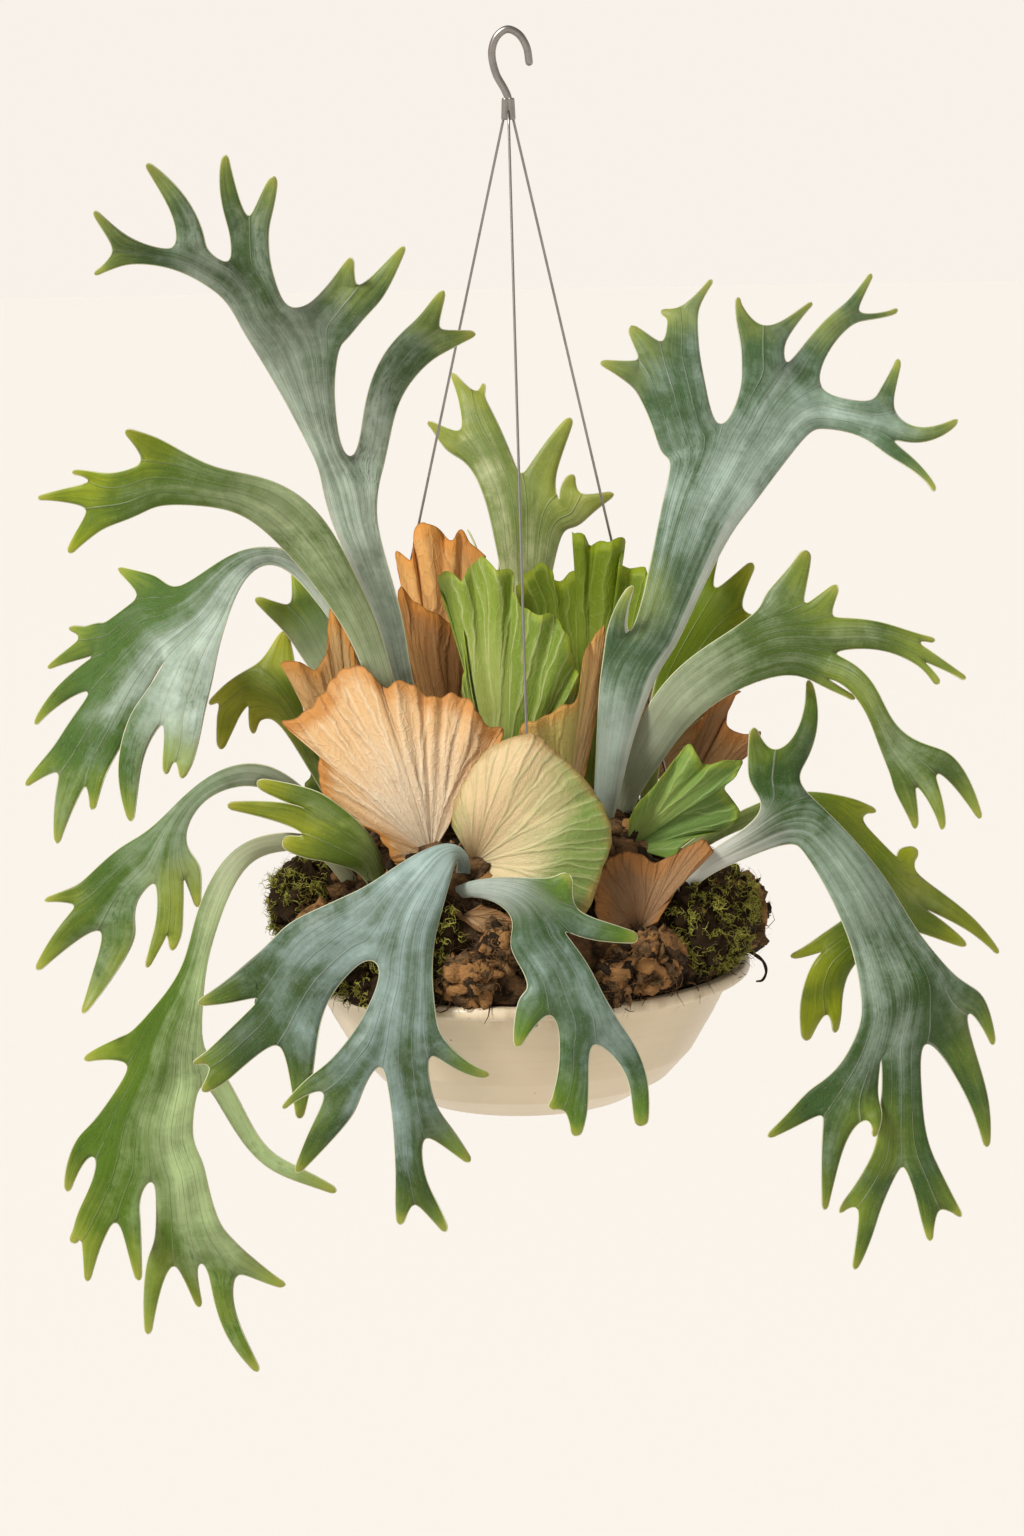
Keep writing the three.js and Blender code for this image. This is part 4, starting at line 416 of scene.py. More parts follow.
# Shield fronds: a fan from its eye, [x, forward], to the points of its waved edge, each
# [right, up, forward]. The bulge is a share of the distance from the eye to the edge.
SHIELDS = {
  "shield_tan_left": {
    "eye": [-58, 78], "frill": 1.5, "pleat": 1.7, "bulge": 0.09,
    "edge": [[-84, -62, 92], [-98, -40, 86], [-116, -33, 76], [-130, -20, 66], [-134, -2, 60], [-135, 14, 57],
      [-158, 33, 46], [-146, 37, 52], [-132, 50, 56], [-118, 67, 60], [-103, 69, 68], [-90, 56, 72],
      [-80, 59, 74], [-70, 57, 70], [-58, 48, 76], [-44, 50, 72], [-31, 44, 78], [-23, 30, 78],
      [-11, 26, 74], [-14, 15, 82], [-30, -2, 92], [-44, -26, 96]],
  },
  "shield_round_front": {
    "eye": [-31, 96], "bulge": 0.22, "pleat": 0.55, "frill": 0.5,
    "edge": [[-46, -38, 108], [-44, -22, 112], [-36, -6, 112], [-22, 12, 116], [-6, 20, 116],
      [10, 22, 120], [24, 10, 118], [40, -5, 122], [50, -18, 122], [59, -36, 128], [60, -52, 128],
      [54, -68, 133], [48, -86, 136], [40, -101, 140], [26, -106, 143], [8, -104, 144], [-8, -97, 138],
      [-24, -84, 126]],
  },
  "shield_ruffled_green": {
    "eye": [-12, 48], "bulge": 0.05, "frill": 2.1, "pleat": 0.4,
    "edge": [[-38, 52, 46], [-35, 76, 44], [-37, 96, 36], [-50, 116, 24], [-51, 131, 22], [-41, 129, 32],
      [-36, 127, 34], [-24, 141, 30], [-13, 133, 42], [-2, 131, 36], [-2, 117, 50], [8, 104, 58],
      [24, 101, 54], [33, 88, 62], [36, 76, 54], [40, 60, 58], [37, 46, 51]],
  },
  "shield_brown_left": {
    "eye": [-44, 16], "bulge": 0.05,
    "edge": [[-72, 40, 8], [-78, 80, 0], [-78, 122, -8], [-68, 112, -4], [-56, 105, 2], [-44, 97, 4],
      [-37, 86, 10], [-36, 66, 14], [-38, 45, 18]],
  },
  "shield_orange_upright": {
    "eye": [-44, -10], "bulge": 0.03,
    "edge": [[-68, 60, -22], [-74, 110, -30], [-80, 146, -34], [-70, 140, -26], [-67, 160, -32],
      [-60, 165, -24], [-49, 158, -28], [-42, 152, -20], [-37, 160, -26], [-28, 148, -18], [-20, 141, -12],
      [-32, 108, -6], [-36, 60, -4]],
  },
  "shield_flap_left": {
    "eye": [-104, 30], "bulge": 0.03,
    "edge": [[-128, -8, 24], [-136, 40, 22], [-146, 62, 22], [-158, 72, 20], [-147, 74, 26], [-136, 68, 26],
      [-128, 78, 20], [-126, 96, 16], [-124, 108, 14], [-112, 88, 20], [-106, 66, 26], [-104, 20, 30]],
  },
  "shield_tan_centre": {
    "eye": [28, 58], "bulge": 0.05,
    "edge": [[2, 12, 84], [1, 28, 78], [10, 31, 82], [19, 35, 74], [29, 41, 76], [38, 44, 68], [42, 58, 62],
      [44, 74, 56], [52, 88, 48], [58, 94, 43], [57, 74, 45], [54, 50, 47], [49, 20, 50], [42, -10, 54]],
  },
  "shield_green_back": {
    "eye": [44, -14], "bulge": 0.03, "frill": 1.9, "pleat": 0.4,
    "edge": [[12, 60, -34], [0, 119, -44], [9, 131, -36], [16, 136, -42], [24, 132, -34], [25, 124, -30],
      [36, 129, -34], [42, 131, -28], [38, 157, -32], [45, 154, -24], [51, 148, -28], [62, 151, -20],
      [73, 150, -26], [69, 135, -18], [78, 132, -22], [87, 131, -16], [84, 100, -12], [76, 50, -10]],
  },
  "shield_brown_right": {
    "eye": [75, 110], "bulge": 0.12, "pleat": 0.7,
    "edge": [[52, -106, 126], [48, -92, 126], [50, -74, 118], [59, -61, 113], [70, -57, 110], [80, -59, 106],
      [86, -64, 108], [97, -62, 104], [110, -55, 101], [121, -50, 98], [128, -58, 101], [112, -70, 106],
      [100, -88, 113], [90, -104, 120]],
  },
  "shield_dried_right": {
    "eye": [96, 8], "bulge": 0.06,
    "edge": [[110, 2, 6], [122, 30, 6], [136, 46, 2], [145, 48, -2], [139, 33, -2],
      [140, 24, 4], [152, 20, 0], [161, 21, -4], [155, 8, -4], [146, 3, 2], [132, -14, 4]],
  },
  "shield_tan_under": {
    "eye": [-38, 121], "bulge": 0.06,
    "edge": [[-51, -87, 117], [-45, -95, 126], [-38, -102, 133], [-28, -109, 138], [-16, -112, 140],
      [-6, -113, 142], [-4, -104, 141], [-14, -96, 138], [-28, -91, 132]],
  },
  "shield_young_right": {
    "eye": [70, 66], "bulge": 0.06,
    "edge": [[72, -36, 80], [77, -27, 84], [90, -13, 82], [102, 2, 80], [113, 14, 76], [119, 6, 82],
      [122, 0, 78], [135, 2, 82], [148, 2, 76], [144, -8, 80], [136, -16, 72], [142, -24, 70],
      [146, -35, 74], [136, -43, 70], [112, -50, 80], [105, -57, 83], [98, -62, 86]],
  },
}

BACK_ANTLERS = {
    "antler_back_low_left": ("antler_front_right", 188),
    "antler_back_low_right": ("antler_front_right", 148),
    "antler_back_upright": ("antler_right_bright", 84),
    "antler_back_left": ("antler_right_bright", 124),
}
BACK_SHIELDS = {
    "shield_back_round": "shield_round_front",
    "shield_back_tan": "shield_tan_left",
    "shield_back_left": "shield_young_right",
    "shield_back_right": "shield_brown_right",
}

# Colours of the antler fronds, as red, green and blue of 255: bloom, rubbed green, tips, back, how much
# of the bloom is left, how far the pale stem reaches, its share, the side whose edge is turned over, and
# how much the bloom thins from vein to vein.
# The pale stem is partly the stem's own paler colour and partly a painted highlight.
ANTLER_TINTS = {
  "antler_upper_left":
    ((160, 174, 156), (78, 106, 54), (150, 166, 70), (214, 220, 206), 0.58, 110, 0.2, -1, 0.0),
  "antler_left_arch":
    ((150, 166, 120), (92, 122, 28), (162, 176, 14), (202, 210, 176), 0.46, 190, 0.8, 0, 0.0),
  "antler_left_droop":
    ((160, 176, 160), (82, 118, 36), (142, 160, 46), (224, 224, 204), 0.44, 250, 1.0, 0, 0.03),
  "antler_left_small":
    ((148, 168, 116), (84, 118, 24), (152, 168, 24), (204, 210, 178), 0.42, 190, 0.9, 0, 0.0),
  "antler_left_pale":
    ((164, 178, 100), (116, 144, 34), (194, 192, 54), (206, 212, 144), 0.42, 60, 0.0, 0, 0.0),
  "antler_left_lower":
    ((146, 164, 132), (80, 114, 24), (150, 162, 46), (202, 210, 184), 0.48, 150, 0.6, 0, 0.01),
  "antler_left_young":
    ((146, 160, 90), (92, 116, 20), (164, 168, 32), (194, 202, 146), 0.38, 40, 0.0, 0, 0.0),
  "antler_long_left":
    ((146, 166, 112), (88, 124, 0), (148, 162, 44), (206, 210, 172), 0.5, 180, 1.0, 0, 0.035),
  "antler_front_left":
    ((140, 160, 154), (62, 90, 32), (116, 138, 34), (208, 218, 210), 0.55, 40, 0.0, 0, 0.0),
  "antler_front_right":
    ((144, 165, 156), (64, 96, 46), (104, 138, 0), (212, 220, 210), 0.57, 80, 0.3, 0, 0.0),
  "antler_right_upright":
    ((154, 174, 158), (82, 114, 68), (156, 170, 80), (216, 222, 208), 0.57, 120, 0.1, 1, 0.0),
  "antler_right_middle":
    ((148, 164, 126), (86, 112, 38), (140, 156, 56), (214, 218, 192), 0.46, 150, 0.4, 0, 0.0),
  "antler_right_lower":
    ((142, 160, 142), (62, 94, 34), (124, 144, 36), (240, 240, 228), 0.46, 105, 1.0, 0, 0.0),
  "antler_right_behind":
    ((142, 156, 90), (104, 128, 16), (164, 174, 18), (200, 206, 156), 0.42, 40, 0.0, 0, 0.0),
  "antler_right_bright":
    ((150, 164, 76), (118, 142, 6), (174, 180, 18), (194, 204, 126), 0.4, 60, 0.2, 0, 0.0),
  "antler_centre_back":
    ((196, 200, 150), (134, 154, 74), (168, 176, 70), (218, 222, 186), 0.54, 130, 0.5, 0, 0.0),
}

# Colours of the shields: near the eye, outer part, ribs, margin, and a patch with its place round the fan;
# then the number of ribs and how clearly they show.
SHIELD_TINTS = {
  "shield_tan_left":
    ((246, 224, 192), (230, 186, 130), (248, 224, 190), (206, 136, 58), (196, 150, 92),
     (0.0, 0.2), 8.0, 0.4),
  "shield_round_front":
    ((236, 214, 168), (126, 150, 74), (206, 210, 150), (180, 142, 78), (240, 206, 160),
     (0.0, 0.4), 9.0, 0.4),
  "shield_ruffled_green":
    ((184, 194, 110), (136, 158, 56), (206, 212, 146), (170, 186, 52), (114, 142, 40),
     (0.6, 1.0), 6.0, 0.5),
  "shield_brown_left":
    ((206, 166, 112), (178, 128, 72), (124, 80, 42), (196, 128, 50), (150, 104, 58),
     (0.5, 1.0), 5.0, 0.3),
  "shield_orange_upright":
    ((226, 180, 124), (240, 182, 108), (170, 114, 62), (224, 148, 62), (214, 160, 98),
     (0.6, 1.0), 5.0, 0.34),
  "shield_flap_left":
    ((230, 196, 148), (226, 178, 116), (160, 112, 66), (218, 146, 62), (210, 174, 116),
     (0.6, 1.0), 5.0, 0.3),
  "shield_tan_centre":
    ((228, 194, 140), (232, 182, 116), (168, 120, 72), (214, 156, 78), (192, 186, 100),
     (0.0, 0.42), 6.0, 0.3),
  "shield_green_back":
    ((152, 170, 66), (122, 146, 24), (180, 194, 100), (166, 184, 40), (96, 124, 16),
     (0.0, 0.3), 7.0, 0.36),
  "shield_brown_right":
    ((164, 128, 92), (172, 130, 86), (110, 76, 50), (176, 120, 64), (122, 90, 60),
     (0.0, 0.4), 7.0, 0.12),
  "shield_dried_right":
    ((188, 146, 100), (176, 132, 86), (112, 76, 46), (190, 126, 64), (138, 100, 62),
     (0.0, 0.4), 5.0, 0.3),
  "shield_tan_under":
    ((222, 190, 148), (190, 152, 106), (124, 84, 50), (150, 106, 62), (168, 132, 88),
     (0.5, 1.0), 4.0, 0.3),
  "shield_young_right":
    ((158, 180, 96), (118, 150, 62), (174, 194, 120), (156, 176, 62), (104, 138, 66),
     (0.5, 1.0), 5.0, 0.4),
}


class FernSizes(bpy.types.PropertyGroup):
    antler_thickness: bpy.props.FloatProperty(
        name="Antler thickness", description="Thickness of an antler frond at its middle",
        default=0.0013, unit="LENGTH")
    shield_thickness: bpy.props.FloatProperty(
        name="Shield thickness", description="Thickness of a shield frond",
        default=0.0010, unit="LENGTH")
    camber: bpy.props.FloatProperty(
        name="Camber", description="Rise of a blade's middle as a share of its half width",
        default=0.14, subtype="FACTOR")
    moss_strands: bpy.props.IntProperty(
        name="Moss strands", description="Strands on the largest clump of moss", default=2600)
    fibres: bpy.props.IntProperty(
        name="Fibres", description="Loose fibres over the root ball", default=900)


class FernColours(bpy.types.PropertyGroup):
    ceramic: bpy.props.FloatVectorProperty(
        name="Ceramic", description="Glaze of the bowl", default=(0.69, 0.575, 0.4), size=3, subtype="COLOR")
    steel: bpy.props.FloatVectorProperty(
        name="Steel", description="Hook and wires", default=(0.3, 0.28, 0.26), size=3, subtype="COLOR")
    moss: bpy.props.FloatVectorProperty(
        name="Moss", description="Lit moss", default=(0.42, 0.42, 0.07), size=3, subtype="COLOR")
    bark: bpy.props.FloatVectorProperty(
        name="Bark", description="Bark and roots", default=(0.185, 0.106, 0.046), size=3, subtype="COLOR")
    backdrop: bpy.props.FloatVectorProperty(
        name="Backdrop", description="Light from all round", default=(0.94, 0.885, 0.825), size=3,
        subtype="COLOR")


def srgb(colour, light=1.0):
    """A colour of 255 steps, seen in the given light, made linear: the curve of a screen, taken back."""
    c = np.asarray(colour, float) / 255
    return tuple(np.where(c <= 0.04045, c / 12.92, ((c + 0.055) / 1.055) ** 2.4) / light)


def lighter(colour, by, add=0.0):
    """A colour times a number, plus a little of all three, and at most 1."""
    return tuple(min(by * c + add, 1.0) for c in colour)


def seed_of(name):
    """A number of its own for each name: the sum of its letters' codes."""
    return sum(map(ord, name))


# Places

def place(p):
    """Right, up and forward in millimetres, as seen, to metres in the model's frame.

    Depth is the distance towards the eye along the view, and what lies nearer shrinks by its share of it."""
    u, v, f = p[..., 0], p[..., 1], p[..., 2]
    depth = (f + v * SIN) / (COS + v * SIN / LOOK_DISTANCE)
    k = 1 - depth / LOOK_DISTANCE
    return np.stack([u * k, -f, LOOK_HEIGHT + v * k * COS + depth * SIN - HOOK_SEAT], axis=-1) * MM


def to_frame(points):
    """Millimetres over the rim to metres in the model's frame."""
    return (points - np.array([0, 0, HOOK_SEAT])) * MM


def dome_height(radius):
    """Height of the root ball over the rim: a dome with a flat top, 1 minus the fourth power, rooted."""
    q = np.minimum(np.asarray(radius, float) / DOME_RADIUS, 1)
    return DOME_HEIGHT * np.sqrt(1 - q ** 4)


def sunk(x, forward, depth):
    """Where a place below the root ball's surface is seen, right and up: the other way round from place."""
    h = float(dome_height(math.hypot(x, forward))) - depth - LOOK_HEIGHT
    away = forward * COS + h * SIN
    k = 1 - away / LOOK_DISTANCE
    return x / k, (h * COS - forward * SIN) / k


def turned(points, degrees):
    """Points turned about the upright axis."""
    a = math.radians(degrees)
    spin = np.array([[math.cos(a), -math.sin(a), 0], [math.sin(a), math.cos(a), 0], [0, 0, 1]])
    return points @ spin.T


def circle(count):
    """Bearings spread evenly over a full turn."""
    return np.linspace(0, TURN, count, endpoint=False)


def unit(vectors):
    """Each row made one long."""
    return vectors / np.linalg.norm(vectors, axis=1, keepdims=True)


def waves(points, seed, size):
    """Smooth unevenness from about -1 to 1: seven sine waves in random directions, and then seven more,
    twice as fine and half as high."""
    rng = np.random.default_rng(seed)
    total = np.zeros(points.shape[:-1])
    for octave in range(2):
        ways = rng.normal(size=(7, 3))
        ways *= (TURN / size * 2 ** octave) / np.linalg.norm(ways, axis=1, keepdims=True)
        total += 0.5 ** octave * np.sin(points @ ways.T + rng.uniform(0, TURN, 7)).sum(-1) / 4.2
    return total


def nuggets(points, seed, size):
    """Rounded lumps from 0 to 1 with sharp creases between them: the size of smooth unevenness, two thirds
    coarse and one third finer."""
    coarse, fine = np.abs(waves(points, seed, size)), np.abs(waves(points, seed + 1, size / 2.7))
    return np.clip((0.66 * coarse + 0.34 * fine) * 1.7, 0, 1)


def ease(x):
    """0 to 1 with level ends: 3 x squared minus 2 x cubed."""
    x = np.clip(x, 0, 1)
    return x * x * (3 - 2 * x)


def cubic(t, p0, m0, p1, m1):
    """The cubic piece from p0 to p1 that sets out along m0 and arrives along m1."""
    return ((2 * t ** 3 - 3 * t ** 2 + 1) * p0 + (t ** 3 - 2 * t ** 2 + t) * m0
            + (3 * t ** 2 - 2 * t ** 3) * p1 + (t ** 3 - t ** 2) * m1)


def curve_through(points, before=None):
    """A smooth curve through points, by chord length: cubic pieces whose slopes are the mean of both sides.

    Returns a function of the length, which gives positions and slopes, and the whole length."""
    points = np.asarray(points, float)
    chords = np.hypot(*np.diff(points[:, :2], axis=0).T)
    knots = np.concatenate([[0], np.cumsum(chords)])
    slopes = np.empty_like(points)
    slopes[1:-1] = (points[2:] - points[:-2]) / (knots[2:] - knots[:-2])[:, None]
    slopes[0] = (points[1] - points[0]) / chords[0]
    slopes[-1] = (points[-1] - points[-2]) / chords[-1]
    if before is not None:
        slopes[0] = (points[1] - before) / (chords[0] + np.hypot(*(points[0] - before)[:2]))

    def at(s):
        """Positions and slopes at these lengths."""
        i = np.clip(np.searchsorted(knots, s, side="right") - 1, 0, len(chords) - 1)
        h = chords[i][:, None]
        t = ((s - knots[i]) / chords[i])[:, None]
        p0, p1, m0, m1 = points[i], points[i + 1], slopes[i] * h, slopes[i + 1] * h
        slope = ((6 * t ** 2 - 6 * t) * (p0 - p1) + (3 * t ** 2 - 4 * t + 1) * m0
                 + (3 * t ** 2 - 2 * t) * m1) / h
        return cubic(t, p0, m0, p1, m1), slope

    return at, knots[-1]


# Meshes

def nearest(points, marks, batch=400):
    """How far each point lies from the closest of the marks, worked out a batch at a time."""
    return np.concatenate([np.sqrt(((points[i:i + batch, None] - marks) ** 2).sum(-1).min(axis=1))
                           for i in range(0, len(points), batch)])


def seams(faces):
    """The edges of one face each, which make the border, and the edges between two faces."""
    sides = np.concatenate([faces, np.roll(faces, -1, axis=1)], axis=0).reshape(2, -1).T
    unique, count = np.unique(np.sort(sides, axis=1), axis=0, return_counts=True)
    return unique[count == 1], unique[count > 1]


def edge_distance(points, faces):
    """How far each point lies from the sheet's border, with five marks along each of its edges."""
    start, stop = points[seams(faces)[0]].transpose(1, 0, 2)
    t = np.linspace(0, 1, 5)[:, None, None]
    return nearest(points, (start * (1 - t) + stop * t).reshape(-1, 3))


def relaxed(points, faces, held):
    """Lets each point drift half way to the middle of its neighbours, pass after pass, less where it is
    held. A point on the border only follows its neighbours on the border, so that corners grow round."""
    border, inner = seams(faces)
    on_border = np.zeros(len(points), bool)
    on_border[border] = True
    pairs = np.concatenate([border, border[:, ::-1], inner, inner[:, ::-1]])
    pairs = pairs[~on_border[pairs[:, 0]] | (np.arange(len(pairs)) < 2 * len(border))]
    near = np.maximum(np.bincount(pairs[:, 0], minlength=len(points)), 1)[:, None]
    for _ in range(SMOOTHINGS):
        middle = [np.bincount(pairs[:, 0], points[pairs[:, 1], i], len(points)) for i in range(3)]
        points = points + (0.5 * (1 - held))[:, None] * (np.stack(middle, -1) / near - points)
    return points


class Sheet:
    """Gathers the grids of one surface, with numbers that are kept at each point."""

    def __init__(self):
        self.points = []
        self.faces = []
        self.notes = []
        self.count = 0

    def add(self, grid, notes, first=None):
        """Adds rows of points. Where first is given, those points stand for the first row."""
        skip = 0 if first is None else 1
        fresh = grid[skip:].reshape(-1, 3)
        ids = np.arange(len(fresh)).reshape(-1, grid.shape[1]) + self.count
        self.count += len(fresh)
        self.points.append(fresh)
        self.notes.append(notes[skip:].reshape(-1, notes.shape[-1]))
        if first is not None:
            ids = np.vstack([first, ids])
        corners = (ids[:-1, :-1], ids[:-1, 1:], ids[1:, 1:], ids[1:, :-1])
        self.faces.append(np.stack(corners, -1).reshape(-1, 4))
        return ids

    def whole(self):
        """All points, faces and notes of the sheet."""
        return np.concatenate(self.points), np.concatenate(self.faces), np.concatenate(self.notes)


def point_normals(points, faces):
    """The direction that the faces round each point look in: the sum of their diagonals' cross products."""
    spans = np.cross(points[faces[:, 2]] - points[faces[:, 0]], points[faces[:, -1]] - points[faces[:, 1]])
    total = np.zeros_like(points)
    for corner in range(faces.shape[1]):
        for axis in range(3):
            total[:, axis] += np.bincount(faces[:, corner], spans[:, axis], len(points))
    return total / np.maximum(np.linalg.norm(total, axis=1, keepdims=True), 1e-12)


def two_sided(points, faces, thickness):
    """A surface made solid: each point goes half the thickness to both sides, and a wall closes the edge."""
    shift = point_normals(points, faces) * thickness[:, None] / 2
    n = len(points)
    begin = faces.ravel()
    end = np.roll(faces, -1, axis=1).ravel()
    is_open = ~np.isin(begin.astype(np.int64) * n + end, end.astype(np.int64) * n + begin)
    a, b = begin[is_open], end[is_open]
    walls = np.stack([b, a, a + n, b + n], -1)
    return (np.concatenate([points + shift, points - shift]),
            np.concatenate([faces, faces[:, ::-1] + n, walls]))


def make_piece(name, points, groups, node, material, notes=None, slot=None):
    """Puts points and groups of faces into a mesh, and says what the piece rides on. Where no slot is given,
    the node's own is looked up, but the slot is not used."""
    mesh = bpy.data.meshes.new(name)
    corners = np.concatenate([g.ravel() for g in groups]).astype(np.int32)
    sizes = np.concatenate([np.full(len(g), g.shape[1]) for g in groups])
    starts = np.concatenate([[0], np.cumsum(sizes)[:-1]]).astype(np.int32)
    mesh.vertices.add(len(points))
    mesh.vertices.foreach_set("co", np.ascontiguousarray(points, np.float32).ravel())
    mesh.loops.add(len(corners))
    mesh.polygons.add(len(sizes))
    mesh.polygons.foreach_set("loop_start", starts)
    mesh.polygons.foreach_set("vertices", corners)
    mesh.update(calc_edges=True)
    mesh.shade_smooth()
    for key, values in (notes or {}).items():
        mesh.attributes.new(key, "FLOAT", "POINT").data.foreach_set("value", np.asarray(values, np.float32))
    mesh.materials.append(material)
    piece = bpy.data.objects.new(name, mesh)
    bpy.context.scene.collection.objects.link(piece)
    slot = slot or SLOTS[node]
    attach(piece, "root")
    if node:
        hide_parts(node)


def frond_piece(name, node, sheet, keys, turn, material, thickness, thinning):
    """A frond's sheet placed, turned and made solid. At its edge it is thinner by the first number of the
    thinning, and e times less so at each further distance given by the second."""
    points, faces, notes = sheet
    share, reach = thinning
    thin = 1 - share * np.exp(-np.maximum(notes[:, keys.index("edge")], 0) / reach)
    solid, faces = two_sided(turned(place(points), turn), faces, thickness * thin)
    doubled = {key: np.tile(notes[:, i], 2) for i, key in enumerate(keys)}
    doubled["under"] = np.repeat([0.0, 1.0], len(points))
    make_piece(name, solid, [faces], node, material, doubled)


# Antler fronds

def tip_count(branch):
    """How many tips a branch leads to."""
    return 1 if len(branch) == 1 else sum(tip_count(child) for child in branch[1:])


def tip_reach(branch):
    """The shortest way from a branch's first station to one of its tips."""
    own = np.hypot(*np.diff(np.array(branch[0], float)[:, :2], axis=0).T).sum()
    return own if len(branch) == 1 else own + min(map(tip_reach, branch[1:]))


def swept(branch, sweep, origin):
    """Carries each station forward by the sweep times the square of its reach from the foot."""
    stations = [[u, v, half, f + sweep * (math.hypot(u - origin[0], v - origin[1]) / SWEEP_REACH) ** 2]
                for u, v, half, f in branch[0]]
    return [stations] + [swept(child, sweep, origin) for child in branch[1:]]


def cross_rows(where, slope, lean):
    """Left edge, middle and right edge of the blade at each row: the half width set off at right angles
    to the heading, and tilted by the lean."""
    way = slope[:, :2] / np.maximum(np.hypot(slope[:, 0], slope[:, 1]), 1e-9)[:, None]
    half = np.maximum(where[:, 2], 0.25)[:, None]
    side = np.stack([-way[:, 1], way[:, 0]], -1) * half
    tilt = (side @ np.asarray(lean, float))[:, None]
    middle = where[:, [0, 1, 3]]
    off = np.concatenate([side, tilt], axis=1)
    return middle + off, middle, middle - off


def columns(count):
    """Places across the blade of a branch with so many tips, from -1 at its left edge to 1 at its right."""
    return np.linspace(-1, 1, TIP_COLUMNS * count + 1)


def row_points(left, middle, right, x, rise):
    """Points across each row, from the left edge at x = -1 over the middle to the right edge, with the
    middle raised by rise times 1 minus x squared."""
    x = x[None, :, None]
    grid = middle[:, None] + np.where(x < 0, (left - middle)[:, None] * -x, (right - middle)[:, None] * x)
    grid[..., 2] += rise[:, None] * (1 - x[0, :, 0] ** 2)
    return grid


def row_notes(vein, along, x):
    """Numbers kept at each point: the vein it lies on, its length from the foot, its distances from the
    edge and from a tip, which are measured later, and its place across."""
    both = along[:, None] + 0 * x
    return np.stack([0 * both + vein, both, 0 * both, 0 * both, 0 * both + x], -1)


